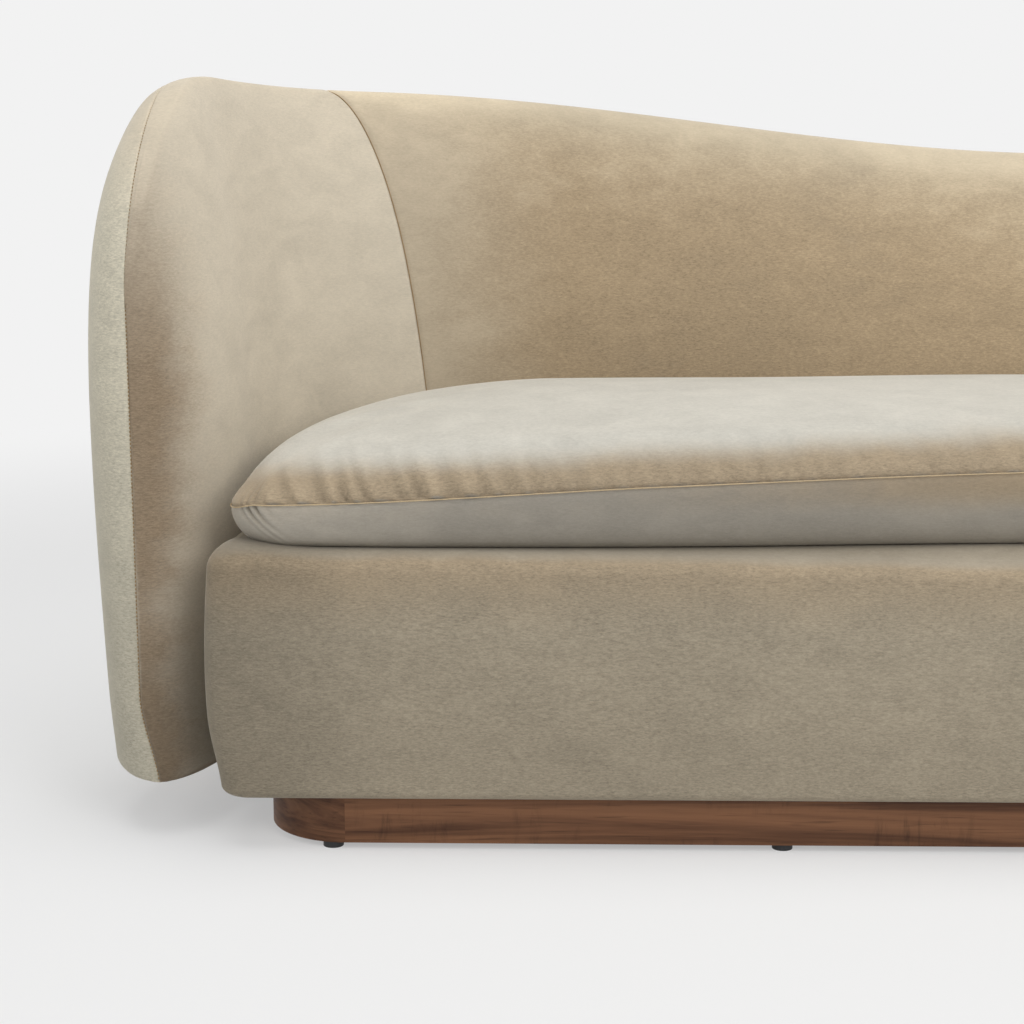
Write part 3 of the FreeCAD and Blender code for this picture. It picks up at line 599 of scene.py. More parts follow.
def wall_panels(wall):
    """The wall's four panels as {name: [(points, corners), ...]}: both surfaces of the left half on a
    grid of c and r with seam grooves pressed in, cut along the seams, and their mirror image."""
    z = wall.z
    c = spaced(0, wall.end, [0.0, 0.02, 0.04, wall.panel_seam], *WALL_STEPS)
    roll = spaced(0, 1, [1 - z.seam_place], *ROLL_STEPS)
    hem = np.linspace(0, 1, 13)
    outer_r = np.concatenate([hem, 1 + np.linspace(0, 1, 44)[1:], 2 + roll[1:]])
    follow = np.interp(outer_r, [2, wall.top_seam, 3], [0, 1, 0])
    outer_rows = outer_r + follow * (wall.seam_height(c) - wall.top_seam)[:, None]
    table = np.linspace(wall.face, wall.crest, CURVE_SAMPLES)
    tip_inside = wall.points(0, table, False)[..., 2]
    tip_outside = wall.points(0, outer_rows[0, len(hem):], True)[..., 2]
    inner_r = np.concatenate([hem, np.interp(tip_outside, tip_inside, table)])
    surfaces = []
    for outside, r in ((False, inner_r), (True, outer_rows)):
        grid_c, grid_r = np.broadcast_arrays(c[:, None], r)
        points = wall.points(grid_c, grid_r, outside)
        normals = grid_normals(points)
        surfaces.append([grid_c, grid_r, points, -normals if outside else normals])
    inner, outer = surfaces
    for edge in (np.s_[0, :], np.s_[:, -1]):
        shared = unit(inner[3][edge] + outer[3][edge])
        inner[3][edge] = shared
        outer[3][edge] = shared
    bend = z.seam_bend / wall.unit_length
    over = np.maximum(0, outer_rows[0] - wall.seam_height(0.0) + bend) * wall.unit_length
    parts = {"wall_inside_left": [], "wall_inside_right": [], "wall_inside_back": [], "wall_outside": []}
    for outside, (grid_c, grid_r, points, normals) in ((False, inner), (True, outer)):
        apart = wall.inside_outside(grid_c, grid_r) if outside else -np.hypot(grid_c, over[None])
        press = bell(apart, z.groove_width)
        plain_seam = bell(grid_c - wall.panel_seam, z.groove_width) * smooth(1 - apart / 0.004)
        press = np.maximum(press, plain_seam)
        press = press * smooth(grid_r / 0.8)
        lift = ripple(points, WALL_RIPPLE) * smooth((grid_r - 0.9) / 0.5) * smooth(grid_c / 0.1)
        pucker = bell(apart + 0.016, 0.012) * np.sin(grid_r * 95.0) * bell(grid_c - 0.06, 0.05)
        points = points + normals * (lift - z.groove_depth * press + 0.0007 * pucker)[..., None]
        points[-1, :, 0] = 0.0
        apart_cell = (apart[1:, 1:] + apart[:-1, :-1]) / 2
        c_cell = (grid_c[1:, 1:] + grid_c[:-1, :-1]) / 2
        apart_cell = apart_cell if outside else np.minimum(apart_cell, -1e-6)
        arm = (apart_cell <= 0) & (c_cell < wall.panel_seam)
        back = (apart_cell <= 0) & ~arm
        for side, place in (("left", points), ("right", mirrored(points))):
            flip = outside != (side == "right")
            parts["wall_inside_" + side].append((place, cells(arm, flip)))
            parts["wall_inside_back"].append((place, cells(back, flip)))
            parts["wall_outside"].append((place, cells(apart_cell > 0, flip)))
    return {name: [part for part in made if len(part[1])] for name, made in parts.items()}


def seam_stitches(wall):
    """Stitches along the stitched seam, both halves, sunk in its groove."""
    z = wall.z
    c, r = wall.seam_line()
    path = wall.points(c, r, True) - wall.normals(c, r, True) * (z.groove_depth * STITCH_SINK)
    run = np.concatenate([[0], np.cumsum(np.linalg.norm(np.diff(path, axis=0), axis=1))])
    places = np.arange(z.stitch_pitch / 2, run[-1], z.stitch_pitch)
    centres = np.stack([np.interp(places, run, path[:, i]) for i in range(3)], axis=1)
    way = unit(np.gradient(centres, axis=0))
    rise = wall.normals(np.interp(places, run, c), np.interp(places, run, r), True)
    rise = unit(rise - way * np.sum(rise * way, axis=1, keepdims=True))
    points, corners = capsules(centres, way, rise, z.stitch_length, z.stitch_radius)
    return [(points, corners), (mirrored(points), corners[:, ::-1])]


def panel_threads(wall):
    """Threads in the plain seams between arms and back, from the seat over the crest to the top seam."""
    z = wall.z
    up = np.linspace(wall.face, wall.crest, 260)
    over = np.linspace(wall.crest, wall.top_seam, 60)[1:]
    parts = []
    for r, outside in ((up, False), (over, True)):
        c = np.full(len(r), wall.panel_seam)
        below_crest = np.minimum(r, wall.crest - 0.005)
        sink = wall.normals(c, below_crest, outside) * (z.groove_depth * THREAD_SINK)
        points, corners = tube(wall.points(c, r, outside) - sink, z.thread_radius)
        parts += [(points, corners), (mirrored(points), corners[:, ::-1])]
    return parts


def half_wave(x, reach):
    """1 at the middle plane, 0 at reach and beyond: a half cosine of the distance."""
    return (1 + np.cos(np.pi * np.minimum(1, np.abs(x) / reach))) / 2


def spine_points(edge, half, y):
    """For each point of a closed edge line, its point on a spine along X, that ends half from the middle."""
    along = half * np.clip(edge[:, 0] / SPINE_SPREAD, -1, 1)
    return np.stack([along, np.full(len(edge), y)], axis=-1)


def front_sink(seat, x, y):
    """How far the deck sinks under the cushion's front, and its edge at the middle."""
    edge = seat.edge_slump * half_wave(x, 1.0) * ahead(y, -0.36, 0.05)
    return seat.deck_sink * ahead(y, -0.24, 0.12) + edge


def seat_box_cover(wall):
    """Cover of the seat box: hem, bottom edge, padded face, rounded top edge and deck, carried round the
    closed seat line, with soft corners that stand up and a front edge that sinks at the middle."""
    seat = bpy.context.scene.sofa_seat
    plan = wall.plan
    shares = [spaced(0, 1, [1.0], *BOX_STEPS), np.linspace(0, 1, 22), np.linspace(0, 1, 120) ** 1.4]
    low = np.linspace(0, np.pi / 2, 9)
    high = np.linspace(0, np.pi / 2, 15)
    foot, edge = seat.box_foot, seat.box_edge
    bottom = seat.box_bottom - seat.box_hem
    face = np.linspace(bottom + foot, seat.deck_height - edge, 34)
    inset = np.concatenate([np.linspace(HEM_WIDTH, foot, 5)[:-1], foot * (1 - np.sin(low)), 0 * face[1:-1],
                            edge * (1 - np.cos(high)), edge + np.linspace(0, 0.05, 10)[1:]])
    height = np.concatenate([np.full(4, bottom), bottom + foot * (1 - np.cos(low)), face[1:-1],
                             seat.deck_height - edge + edge * np.sin(high), np.full(9, seat.deck_height)])
    share_up = (height - bottom) / (seat.deck_height - bottom)
    bulge = seat.box_bulge * np.sin(np.pi * np.clip(share_up, 0, 1)) - 0.006 * (1 - smooth(share_up / 0.35))
    radius = np.maximum(seat.box_corner * (1 - inset / 0.12), 0.006)
    flat = plan.loop(seat.box_gap + inset, plan.front + inset, radius, shares)
    tucked = plan.loop(seat.box_gap + inset - bulge, plan.front + inset - bulge, radius, shares)
    line = mix(flat, tucked, ahead(flat[..., 1:], *BOX_FRONT))
    deck = mix(line[-1:], spine_points(line[-1], *DECK_SPINE)[None], np.linspace(0, 1, 9)[1:, None, None])
    line = np.concatenate([line, deck])
    x, y = line[..., 0], line[..., 1]
    share_up = np.concatenate([share_up, np.ones(len(deck))])
    top = smooth((share_up - 0.55) / 0.4)[:, None]
    z = np.concatenate([height, np.full(len(deck), seat.deck_height)])[:, None]
    z = z + top * (seat.corner_hump * corner_bell(x, y, BOX_CORNER) - front_sink(seat, x, y))
    points = np.concatenate([line, z[..., None]], axis=-1)
    normals = ring_normals(points)
    points = points + normals * (ripple(points, BOX_RIPPLE) * top_or_face(points, seat))[..., None]
    return [(points, ring_cells(points.shape[0], points.shape[1]))]


def top_or_face(points, seat):
    """1 on the faces that show, 0 at the hem and under the cushion."""
    z = points[..., 2]
    return smooth((z - seat.box_bottom - 0.004) / 0.02) * ahead(points[..., 1], *BOX_FRONT)


def ring_normals(points):
    """Unit normals of a grid whose second direction closes to a ring, out of the ring."""
    along = np.roll(points, -1, axis=1) - np.roll(points, 1, axis=1)
    return unit(np.cross(np.gradient(points, axis=0), along))


def cushion_line(plan, seat, shares):
    """Closed line of the cushion's seam; the front draws back towards the middle."""
    front = plan.front + seat.cushion_front_gap
    line = plan.loop([seat.cushion_side_gap], [front], [seat.cushion_corner], shares)[0]
    line[..., 1] += ahead(line[..., 1], -0.17, 0.2) * seat.cushion_bow * half_wave(line[..., 0], 1.0)
    return line


def cushion_seam_height(seat, x, y):
    """Seam height: level behind, and a half cosine between the ends and the middle in front."""
    front = seat.seam_low + seat.seam_rise * half_wave(x, CUSHION_END)
    front = front + seat.seam_step * smooth((CUSHION_END - np.abs(x)) / 0.45)
    front = front - seat.corner_pull * smooth((np.abs(x) - 1.03) / 0.035)
    return mix(seat.cushion_seam, front, ahead(y, -0.18, 0.17))


def edge_weights(x, y):
    """Weights of the cushion's front edge, its two ends and its front corners along its seam line."""
    end = smooth((np.abs(x) - 0.86) / 0.20) * ahead(y, 0.157, 0.40)
    return ahead(y, -0.22, 0.14), end, corner_bell(x, y, CUSHION_CORNER)


def cushion_panels(wall):
    """Top and bottom panel of the cushion. Each leaves the seam in a rounded edge, whose reach and height
    change along the seam, and runs on to the spine, the top one in a crown; creases are pressed in. With
    each panel go two fields: nap, 1 at the front seam and 0 where the roll ends, on the bottom panel less
    towards the ends, and crease, the creases' depth, by which the finish paints shade into their valleys."""
    seat = bpy.context.scene.sofa_seat
    plan = wall.plan
    across = spaced(0, 1, [1.0], *CUSHION_STEPS)
    shares = [across, np.linspace(0, 1, 70), np.linspace(0, 1, 140) ** 1.3]
    base = cushion_line(plan, seat, shares)
    spine = spine_points(base, seat.spine_half, seat.spine_y)
    run = np.linalg.norm(spine - base, axis=-1)
    front, end, corner = edge_weights(base[:, 0], base[:, 1])
    seam = cushion_seam_height(seat, base[:, 0], base[:, 1])
    made = []
    for upper in (True, False):
        turn = np.linspace(0, np.pi / 2, 34 if upper else 22)
        part = (1 - np.cos(turn) ** 0.9)[:, None]
        if upper:
            reach = mix(mix(seat.back_reach, seat.front_reach, front), seat.end_reach, end)
            reach = reach * (1 - 0.26 * corner)
            rise = mix(mix(seat.back_rise, seat.front_rise, front), seat.end_rise, end)
            rise = rise + seat.corner_swell * corner
        else:
            reach = mix(seat.cushion_edge_low, seat.end_edge_low, end)
        inward = mix(reach / run, 1.0, np.linspace(0, 1, 21)[1:, None] ** 1.15)
        inward = np.concatenate([part * reach / run, inward])
        plan_rows = mix(base[None], spine[None], inward[..., None])
        x, y = plan_rows[..., 0], plan_rows[..., 1]
        share_in = np.minimum(1, inward * run / reach)
        round_up = (1 - (1 - share_in) ** seat.edge_fullness) ** (1 / seat.edge_fullness)
        if upper:
            crown = seat.cushion_crown - seam - rise
            z = seam + rise * round_up + crown * (1 - (1 - inward) ** CROWN_POWER)
        else:
            z = mix(seam[None], seat.deck_height + 0.001 - front_sink(seat, x, y), round_up)
        points = np.concatenate([plan_rows, z[..., None]], axis=-1)
        normals = ring_normals(points)
        normals = normals if upper else -normals
        lift = cushion_creases(points, seam, upper)
        # The creases' depth, kept for the finish, which paints shade into their valleys.
        crease = lift / PUCKER_DEPTH
        depth, width = CUSHION_GROOVE
        lift = lift - depth * bell(np.linalg.norm(points - points[:1], axis=-1), width)
        if upper:
            lift = lift + ripple(points * 1.7, CUSHION_RIPPLE) * smooth((z - 0.42) / 0.03)
        points = points + normals * lift[..., None]
        corners = ring_cells(points.shape[0], points.shape[1])
        nap = ahead(base[:, 1], *CUSHION_FRONT) * (1 - smooth((np.abs(z - seam) - 0.011) / 0.045))
        if not upper:
            nap = nap * (1 - 0.85 * smooth((np.abs(base[:, 0]) - 0.05) / 0.80))
        made.append(([(points, corners if upper else corners[:, ::-1])], {"nap": nap, "crease": crease}))
    return made


def cushion_creases(rim, seam, upper):
    """Heights of the creases: leaning bells along the front seam, placed at seeded distances, and narrow
    pinched folds that leave the seam at the two front corners."""
    draw = np.random.default_rng(7)
    x, y, z = rim[..., 0], rim[..., 1], rim[..., 2]
    rise = np.abs(z - seam)
    places = np.cumsum(draw.uniform(0.018, 0.038, 80)) - CUSHION_END
    places = places[np.abs(places) < 1.03]
    count = len(places)
    lean = draw.uniform(0.25, 0.60, count) * np.where(places < 0, -1, 1)
    width = draw.uniform(0.0045, 0.0085, count)
    strong = draw.uniform(0.55, 1.0, count) * (0.25 + 0.75 * bell(np.abs(places) - 0.895, 0.105))
    tall = draw.uniform(0.028, 0.042, count)
    lift = np.zeros_like(x)
    for i in range(count):
        away = x - places[i] - lean[i] * rise
        up = bell(rise, tall[i]) * smooth(rise / 0.005)
        lift -= strong[i] * bell(away, width[i]) * up
        lift += 0.6 * strong[i] * bell(away - 2 * width[i], width[i]) * up
    depth, slope, tall_fold, strength = CREASES_ABOVE if upper else CREASES_BELOW
    lift = lift * depth * ahead(y, *CUSHION_FRONT)
    along = (np.abs(x) - 1.046) * -0.75 + (y + 0.352) * -0.66
    near = corner_bell(x, y, FOLD_CORNER)
    for place, deep in FOLDS:
        away = along - place + slope * rise
        fade = np.exp(-rise / tall_fold) * smooth(rise / 0.003)
        lift -= deep * strength * bell(away, 0.0024) * fade * near
    return lift


def cushion_thread(wall):
    """Thread of the cushion's seam, carried round its closed line."""
    seat = bpy.context.scene.sofa_seat
    shares = [np.linspace(0, 1, 260), np.linspace(0, 1, 50), np.linspace(0, 1, 260)]
    line = cushion_line(wall.plan, seat, shares)
    z = cushion_seam_height(seat, line[:, 0], line[:, 1])
    path = np.concatenate([line, z[:, None]], axis=1)
    return [tube(path, wall.z.thread_radius * CUSHION_THREAD, (0.0, 0.0, 1.0), closed=True)]


# Finishes


class Value:
    """A node's output with arithmetic: each operator adds one Math node."""

    def __init__(self, finish, socket):
        self.finish = finish
        self.socket = socket

    def math(self, operation, a, b):
        return self.finish.node("ShaderNodeMath", {"operation": operation}, {0: a, 1: b})

    def __add__(self, other):
        return self.math("ADD", self, other)

    __radd__ = __add__

    def __sub__(self, other):
        return self.math("SUBTRACT", self, other)

    def __rsub__(self, other):
        return self.math("SUBTRACT", other, self)

    def __mul__(self, other):
        return self.math("MULTIPLY", self, other)

    __rmul__ = __mul__


class Finish:
    """One material, or the world, and the one method that adds nodes to it."""

    def __init__(self, name, world=False):
        self.made = (bpy.data.worlds if world else bpy.data.materials).new(name)
        self.made.use_nodes = True
        self.tree = self.made.node_tree
        self.tree.nodes.clear()

    def node(self, kind, settings=None, values=None, output=0):
        """A node of that kind with its settings set first, then the values or links of its sockets."""
        made = self.tree.nodes.new(kind)
        for name, setting in (settings or {}).items():
            setattr(made, name, setting)
        for name, value in (values or {}).items():
            if isinstance(value, Value):
                self.tree.links.new(value.socket, made.inputs[name])
            else:
                made.inputs[name].default_value = value
        return Value(self, made.outputs[output]) if len(made.outputs) else None

    def place(self, scale=(1.0, 1.0, 1.0), turn=(0.0, 0.0, 0.0)):
        """Object coordinates, stretched and turned."""
        where = self.node("ShaderNodeTexCoord", output="Object")
        return self.node("ShaderNodeMapping", None, {"Vector": where, "Scale": scale, "Rotation": turn})

    def noise(self, where, scale, detail=2.0, rough=0.5, distortion=0.0):
        return self.node("ShaderNodeTexNoise", None, {"Vector": where, "Scale": scale, "Detail": detail,
                                                       "Roughness": rough, "Distortion": distortion})

    def step(self, value, low, high):
        """Smooth step of a value between low and high."""
        return self.node("ShaderNodeMapRange", {"interpolation_type": "SMOOTHSTEP"},
                         {"Value": value, "From Min": low, "From Max": high})

    def mix(self, factor, a, b):
        return self.node("ShaderNodeMix", {"data_type": "RGBA"}, {0: factor, 6: a, 7: b}, output=2)

    def tint(self, colour, value):
        """A colour times a grey value."""
        return self.node("ShaderNodeMix", {"data_type": "RGBA", "blend_type": "MULTIPLY"},
                         {0: 1.0, 6: colour, 7: value}, output=2)

    def bump(self, height, strength, distance):
        return self.node("ShaderNodeBump", None,
                         {"Height": height, "Strength": strength, "Distance": distance})

    def done(self, **sockets):
        """The surface shader; names are its sockets with _ for spaces."""
        shader = self.node("ShaderNodeBsdfPrincipled", None,
                           {name.replace("_", " "): value for name, value in sockets.items()})
        self.node("ShaderNodeOutputMaterial", None, {"Surface": shader})
        return self.made

    def shown(self):
        """1 for rays that come from the camera, by reflection or through clear stuff, else 0."""
        rays = [self.node("ShaderNodeLightPath", output="Is %s Ray" % kind)
                for kind in ("Camera", "Glossy", "Transmission")]
        return rays[0].math("MAXIMUM", rays[0].math("MAXIMUM", rays[0], rays[1]), rays[2])

    def split(self, vector):
        """The three parts of a vector."""
        first = self.node("ShaderNodeSeparateXYZ", None, {0: vector})
        return [Value(self, socket) for socket in first.socket.node.outputs]


def rgba(colour):
    return (*colour, 1.0)


def velvet(name, side, front, top, under, nose=0.0, low=1.0, ends=1.0, lying=(0.25, 0.85),
           climb=(0.05, 0.32), reach=(0.86, 1.07), band=None, fields=False, coarse=1.0, pale=False):
    """Brushed velvet, whose nap shows one colour from the side and others where it faces the front, up or
    down, with brushed patches and short fibres that lie along the width; the top colour is partly painted
    sheen.

    nose: distance from the middle plane beyond which the front colour shows, for the arms only
    low, ends: tones at the bottom, where shade is painted in, and at both ends
    lying: upward parts of the normal at which the top colour, partly painted sheen, sets in and is full
    climb: heights of the full painted shade at the bottom and of the full tone
    reach: distances from the middle plane at which the ends' tone sets in and is full
    band: heights over which the under colour comes in on a face's upper part, instead of below
    fields: use the piece's own nap and crease, which paints shade into the creases' valleys and light on
    their ridges
    coarse: extra grain where the nap faces the front
    pale: the side colour takes over at both ends, and the middle is lighter
    """
    f = Finish(name)
    x, _, height = f.split(f.place())
    off_middle = x.math("ABSOLUTE", x, 0.0)
    _, ny, nz = f.split(f.node("ShaderNodeTexCoord", output="Normal"))
    brushed = f.noise(f.place((1.0, 1.0, 1.5)), 4.5, detail=3.0, rough=0.55, distortion=0.6)
    patch = f.noise(f.place((1.0, 1.0, 1.8)), 19.0, detail=3.0, rough=0.6, distortion=0.5)
    speckle = f.noise(f.place((180.0, 180.0, 620.0)), 1.0, detail=3.0, rough=0.75)
    fibre = f.noise(f.place((420.0, 420.0, 1500.0)), 1.0, rough=0.6)
    sway = (brushed - 0.5) * 0.6 + (patch - 0.5) * 0.35
    toward = 0 - ny + sway
    if nose:
        toward = toward + f.step(height, 0.26, 0.46) * 0.12 - 0.12
    to_front = f.step(toward, 0.32, 0.92)
    if nose:
        to_front = to_front * f.step(off_middle + sway * 0.08, nose, nose + 0.05)
        to_front = to_front * (1 - f.step(height + sway * 0.1, 0.48, 0.83) * 0.92)
    if pale:
        to_front = to_front * (1 - f.step(off_middle + sway * 0.15, *reach))
    # Top colour where the normal points up: partly the nap, partly painted sheen.
    to_top = f.step(nz + sway * 0.5, *lying)
    if band:
        down = f.step(height + sway * 0.06, *band) * 0.85
    if fields:
        nap = f.node("ShaderNodeAttribute", {"attribute_name": "nap"}, output="Fac")
        crease = f.node("ShaderNodeAttribute", {"attribute_name": "crease"}, output="Fac")
        # Painted shade: the crease valleys keep more of the darker front colour.
        to_top = 1 - f.step(nap + sway * 0.90 + crease * -0.15, 0.05, 0.95)
    colour = f.mix(to_front, rgba(side), rgba(front))
    if band:
        colour = f.mix(down, colour, rgba(under))
    colour = f.mix(to_top, colour, rgba(top))
    if not band:
        colour = f.mix(f.step(0 - nz + sway * 0.4, 0.05, 0.6), colour, rgba(under))
    grain = (speckle - 0.5) * 0.80 + (fibre - 0.5) * 0.30
    grain = grain * (0.45 + to_front * (1 - to_top) * coarse)
    grey = 1 + (brushed - 0.5) * 0.24 + (patch - 0.5) * 0.30 + grain
    # Painted shade: darker towards the bottom.
    grey = grey * (low + f.step(height, *climb) * (1 - low))
    grey = grey * (1 - f.step(off_middle, *reach) * (1 - ends))
    if pale:
        grey = grey * (1.09 - f.step(off_middle, 0.20, 0.60) * 0.09)
    if fields:
        # Painted shade and light: darker in the crease valleys, lighter on their ridges.
        grey = grey * (1 + crease * 0.40)
    colour = f.tint(colour, grey)
    relief = f.bump(speckle * 0.6 + fibre * 0.4, 0.30, 0.0012)
    return f.done(Base_Color=colour, Roughness=0.92, Normal=relief,
                  Sheen_Weight=0.30, Sheen_Roughness=0.38, Sheen_Tint=(1.0, 0.96, 0.88, 1.0),
                  Specular_IOR_Level=0.15)


def walnut(name, scale, turn=(0.0, 0.0, 0.0), dark=0.0):
    """Lacquered walnut: long wavering grain, dark streaks, short pores along the wood, and patches of
    figure across it."""
    colours = bpy.context.scene.sofa_colours
    f = Finish(name)
    grain = f.noise(f.place(scale, turn), 1.0, detail=6.0, rough=0.62, distortion=0.9)
    streak = f.noise(f.place(tuple(v * 3.1 for v in scale), turn), 1.0, detail=4.0, rough=0.7)
    pores = f.noise(f.place(tuple(v * 12.0 for v in scale), turn), 1.0)
    band = f.step(grain + dark, 0.36, 0.68)
    colour = f.mix(band, rgba(colours.walnut), rgba(colours.walnut_dark))
    colour = f.tint(colour, 0.72 + streak * 0.62)
    colour = f.tint(colour, 1 - f.step(pores, 0.58, 0.75) * 0.35)
    figure = f.noise(f.place((85.0, 85.0, 16.0)), 1.0, detail=4.0, rough=0.7, distortion=0.4)
    where_figured = f.noise(f.place((7.0, 7.0, 20.0)), 1.0)
    colour = f.tint(colour, 1 - f.step(figure, 0.50, 0.72) * f.step(where_figured, 0.42, 0.62) * 0.38)
    return f.done(Base_Color=colour, Roughness=0.36 + streak * 0.22, Normal=f.bump(pores, 0.08, 0.0006),
                  Coat_Weight=0.03, Coat_Roughness=0.3, Specular_IOR_Level=0.22)


def plain(name, light, dark, scale, rough, metal=0.0, relief=0.1):
    """Even stuff with two close colours in a noise of the given stretch."""
    f = Finish(name)
    grain = f.noise(f.place(scale), 1.0, detail=4.0, rough=0.6, distortion=0.3)
    fine = f.noise(f.place(tuple(v * 6.0 for v in scale)), 1.0)
    colour = f.mix(f.step(grain, 0.3, 0.7), rgba(light), rgba(dark))
    return f.done(Base_Color=colour, Roughness=rough + (fine - 0.5) * 0.12, Metallic=metal,
                  Normal=f.bump(fine, relief, 0.0006))


def thread_finish(name, colour):
    """Twisted thread: fine bands across its length."""
    f = Finish(name)
    twist = f.noise(f.place((1200.0, 1200.0, 1200.0)), 1.0, detail=1.0)
    colour = f.tint(rgba(colour), 0.7 + twist * 0.6)
    return f.done(Base_Color=colour, Roughness=0.7)


# Operators


class SOFA_OT_wall(bpy.types.Operator):
    """Make the wall's velvet panels"""

    bl_idname = "sofa.wall"
    bl_label = "Wall panels"

    def execute(self, context):
        parts = wall_panels(Wall())
        c = context.scene.sofa_colours
        # Painted shade: the arms darken towards the bottom (low).
        arm = velvet("arm_velvet", c.arm_side, c.arm_front, c.wall_top, c.arm_front, nose=1.06, low=0.58)
        back = velvet("back_velvet", c.back_side, c.back_face, c.back_top, c.back_face, ends=1.25,
                      reach=(0.70, 0.92), pale=True)
        # Painted shade: the outside panel darkens towards the bottom (low, climb).
        outside = velvet("outside_velvet", c.outside, c.outside, c.wall_top, c.outside, low=0.74,
                         climb=(0.08, 0.62))
        panels = {
            "wall_inside_left": (arm, "inside_pad_left", "arm_front_pad_left"),
            "wall_inside_right": (arm, "inside_pad_right", "arm_front_pad_right"),
            "wall_inside_back": (back, "inside_pad_back"),
            "wall_outside": (outside, "outside_pad_left", "outside_pad_back", "outside_pad_right"),
        }
        for name, (cloth, *nodes) in panels.items():
            piece = make_piece(name, parts[name], cloth, "sofa", nodes)
        return {"FINISHED"}


class SOFA_OT_seams(bpy.types.Operator):
    """Make the stitches and threads of the wall's seams"""

    bl_idname = "sofa.seams"
    bl_label = "Wall seams"

    def execute(self, context):
        wall = Wall()
        thread = thread_finish("thread", context.scene.sofa_colours.thread)
        make_piece("wall_stitches", seam_stitches(wall), thread, "sofa")
        make_piece("panel_threads", panel_threads(wall), thread, "sofa")
        return {"FINISHED"}


class SOFA_OT_seat_box(bpy.types.Operator):
    """Make the cover of the seat box"""

    bl_idname = "sofa.seat_box"
    bl_label = "Seat box cover"

    def execute(self, context):
        nodes = ("seat_front_pad", "seat_side_pad_left", "seat_side_pad_right", "deck_cloth", "deck_foam")
        c = context.scene.sofa_colours
        # Painted shade: the box is darker at both ends, where the arms shade it.
        cloth = velvet("box_velvet", c.box_face, c.box_face, c.deck, c.box_top, ends=0.72, lying=(0.60, 1.0),
                       band=(0.235, 0.325))
        piece = make_piece("seat_box_cover", seat_box_cover(Wall()), cloth, "sofa", nodes)
        return {"FINISHED"}


class SOFA_OT_cushion(bpy.types.Operator):
    """Make the loose cushion with its seam"""

    bl_idname = "sofa.cushion"
    bl_label = "Cushion"

    def execute(self, context):
        wall = Wall()
        c = context.scene.sofa_colours
        cloth = velvet("cushion_velvet", c.cushion_front, c.cushion_front, c.cushion_top, c.cushion_under,
                       fields=True)
        under = velvet("cushion_under_velvet", c.cushion_front, c.cushion_front, c.cushion_under,
                       c.cushion_under, ends=1.26, reach=(0.78, 1.0), fields=True, coarse=0.2)
        panels = (("cushion_top", cloth, ("cushion_top_panel",)),
                  ("cushion_bottom", under, ("cushion_bottom_panel", "cushion_core")))
        for (name, stuff, nodes), (parts, fields) in zip(panels, cushion_panels(wall)):
            piece = make_piece(name, parts, stuff, "seat_cushion", nodes, fields)
        thread = thread_finish("cushion_thread", c.cushion_thread)
        make_piece("cushion_thread", cushion_thread(wall), thread, "seat_cushion")
        return {"FINISHED"}


class SOFA_OT_frame(bpy.types.Operator):
    """Give the wooden, metal and inner parts their finishes"""

    bl_idname = "sofa.frame"
    bl_label = "Frame finishes"

    def execute(self, context):
        finishes = {"walnut": walnut("plinth_walnut", (1.3, 16.0, 34.0))}
        finishes.update({slot: plain(*row) for slot, row in PLAIN_FINISHES.items()})
        corner = walnut("plinth_corner_walnut", (5.0, 9.0, 26.0), (0.0, 0.0, 0.8), 0.02)
        slots = {row["node"]: row["material_slot"] for row in frame["record"]["subparts"]}
        for name, node in frame["nodes"].items():
            finish = corner if name.startswith("plinth_corner") else finishes.get(slots[name])
            if finish is not None:
                node.data.materials.clear()
                node.data.materials.append(finish)
        return {"FINISHED"}


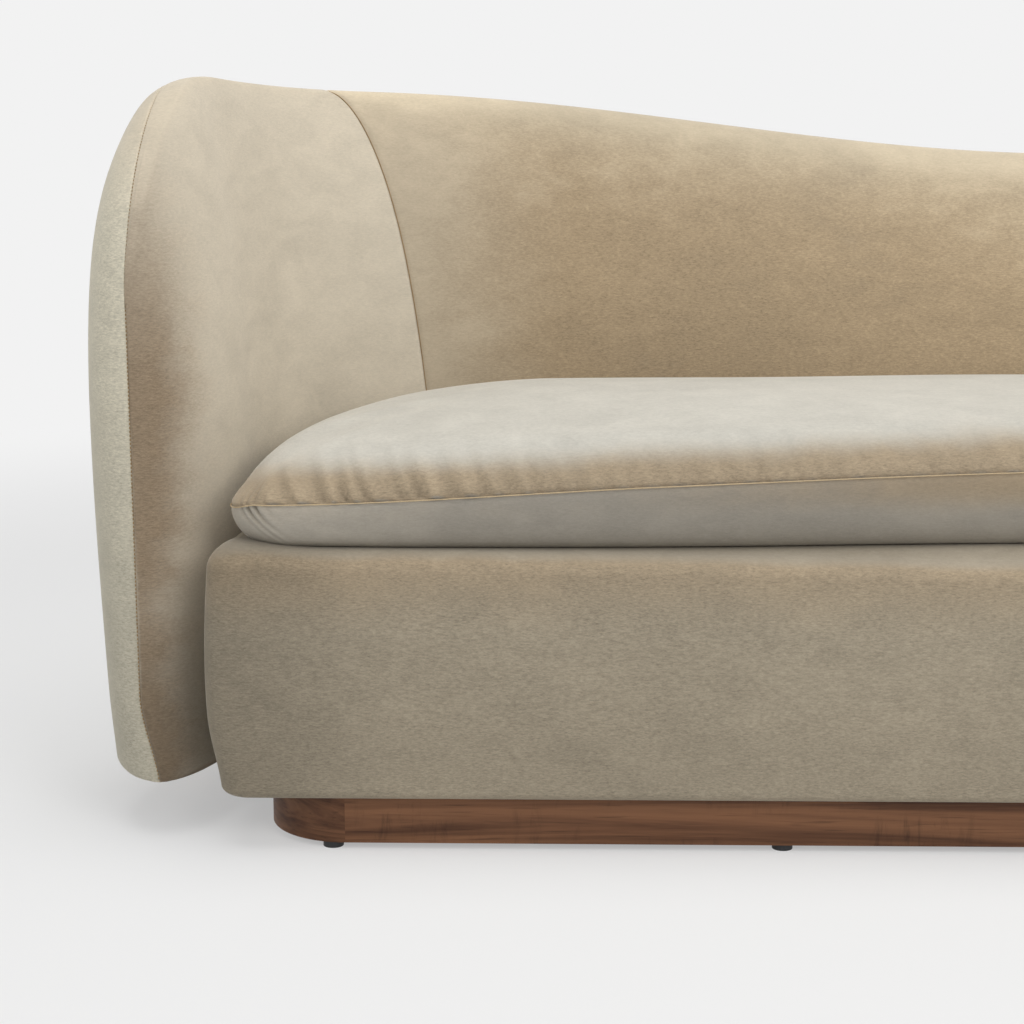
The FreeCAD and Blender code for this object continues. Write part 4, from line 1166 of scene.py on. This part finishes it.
class SOFA_OT_stage(bpy.types.Operator):
    """Set up the floor, the light and the camera"""

    bl_idname = "sofa.stage"
    bl_label = "Stage"

    def execute(self, context):
        scene = context.scene
        ground = rgba(scene.sofa_colours.backdrop)
        turn = np.linspace(0, 2 * np.pi, 96, endpoint=False)
        rim = FLOOR_RADIUS * np.stack([np.cos(turn), np.sin(turn), 0 * turn], axis=1)
        mesh = bpy.data.meshes.new("floor")
        mesh.from_pydata(rim.tolist(), [], [list(range(len(rim)))])
        floor = bpy.data.objects.new("floor", mesh)
        scene.collection.objects.link(floor)
        f = Finish("floor")
        where = f.node("ShaderNodeTexCoord", output="Object")
        far = f.node("ShaderNodeVectorMath", {"operation": "LENGTH"}, {0: where}, output=1)
        factor = (0.45 + f.step(far, 1.5, 3.4) * 0.55) * f.shown()
        matt = f.node("ShaderNodeBsdfDiffuse", None, {"Color": rgba([FLOOR_GREY] * 3)})
        glow = f.node("ShaderNodeEmission", None, {"Color": ground, "Strength": 1.0})
        both = f.node("ShaderNodeMixShader", None, {0: factor, 1: matt, 2: glow})
        f.node("ShaderNodeOutputMaterial", None, {"Surface": both})
        mesh.materials.append(f.made)

        f = Finish("studio", world=True)
        soft = f.node("ShaderNodeBackground", None, {"Color": rgba([1.0] * 3), "Strength": SKY_STRENGTH})
        seen = f.node("ShaderNodeBackground", None, {"Color": ground})
        both = f.node("ShaderNodeMixShader", None, {0: f.shown(), 1: soft, 2: seen})
        f.node("ShaderNodeOutputWorld", None, {"Surface": both})
        scene.world = f.made

        for name, place, target, size, power in LAMPS:
            lamp = bpy.data.lights.new(name, "AREA")
            lamp.shape = "DISK"
            lamp.size = size
            lamp.energy = power
            holder = bpy.data.objects.new(name, lamp)
            holder.location = place
            aim = np.array(target) - np.array(place)
            holder.rotation_euler = (math.acos(-aim[2] / np.linalg.norm(aim)), 0.0,
                                     math.atan2(aim[1], aim[0]) - math.pi / 2)
            scene.collection.objects.link(holder)

        lens = bpy.data.cameras.new("camera")
        lens.sensor_width = SENSOR
        lens.lens = LENS
        camera = bpy.data.objects.new("camera", lens)
        camera.location = CAMERA_PLACE
        camera.rotation_euler = (math.radians(90 - CAMERA_TILT), 0.0, math.radians(CAMERA_TURN))
        scene.collection.objects.link(camera)
        scene.camera = camera
        scene.view_settings.view_transform = "Standard"
        return {"FINISHED"}


class SOFA_PT_panel(bpy.types.Panel):
    """Buttons and sizes of the sofa"""

    bl_idname = "SOFA_PT_panel"
    bl_label = "Sofa"
    bl_space_type = "VIEW_3D"
    bl_region_type = "UI"
    bl_category = "Sofa"

    def draw(self, context):
        for operator in operators:
            self.layout.operator(operator.bl_idname)
        for group in (context.scene.sofa_wall, context.scene.sofa_seat, context.scene.sofa_colours):
            column = self.layout.column()
            for name in group.__annotations__:
                column.prop(group, name)


operators = (SOFA_OT_wall, SOFA_OT_seams, SOFA_OT_seat_box, SOFA_OT_cushion, SOFA_OT_frame, SOFA_OT_stage)
classes = (SofaWallSizes, SofaSeatSizes, SofaColours, *operators, SOFA_PT_panel)


def register():
    for made in classes:
        bpy.utils.register_class(made)
    bpy.types.Scene.sofa_wall = bpy.props.PointerProperty(type=SofaWallSizes)
    bpy.types.Scene.sofa_seat = bpy.props.PointerProperty(type=SofaSeatSizes)
    bpy.types.Scene.sofa_colours = bpy.props.PointerProperty(type=SofaColours)


def unregister():
    del bpy.types.Scene.sofa_colours
    del bpy.types.Scene.sofa_seat
    del bpy.types.Scene.sofa_wall
    for made in reversed(classes):
        bpy.utils.unregister_class(made)


def main():
    register()
    bpy.ops.sofa.wall()
    bpy.ops.sofa.seams()
    bpy.ops.sofa.seat_box()
    bpy.ops.sofa.cushion()
    bpy.ops.sofa.frame()
    bpy.ops.sofa.stage()


if __name__ == "__main__":
    main()
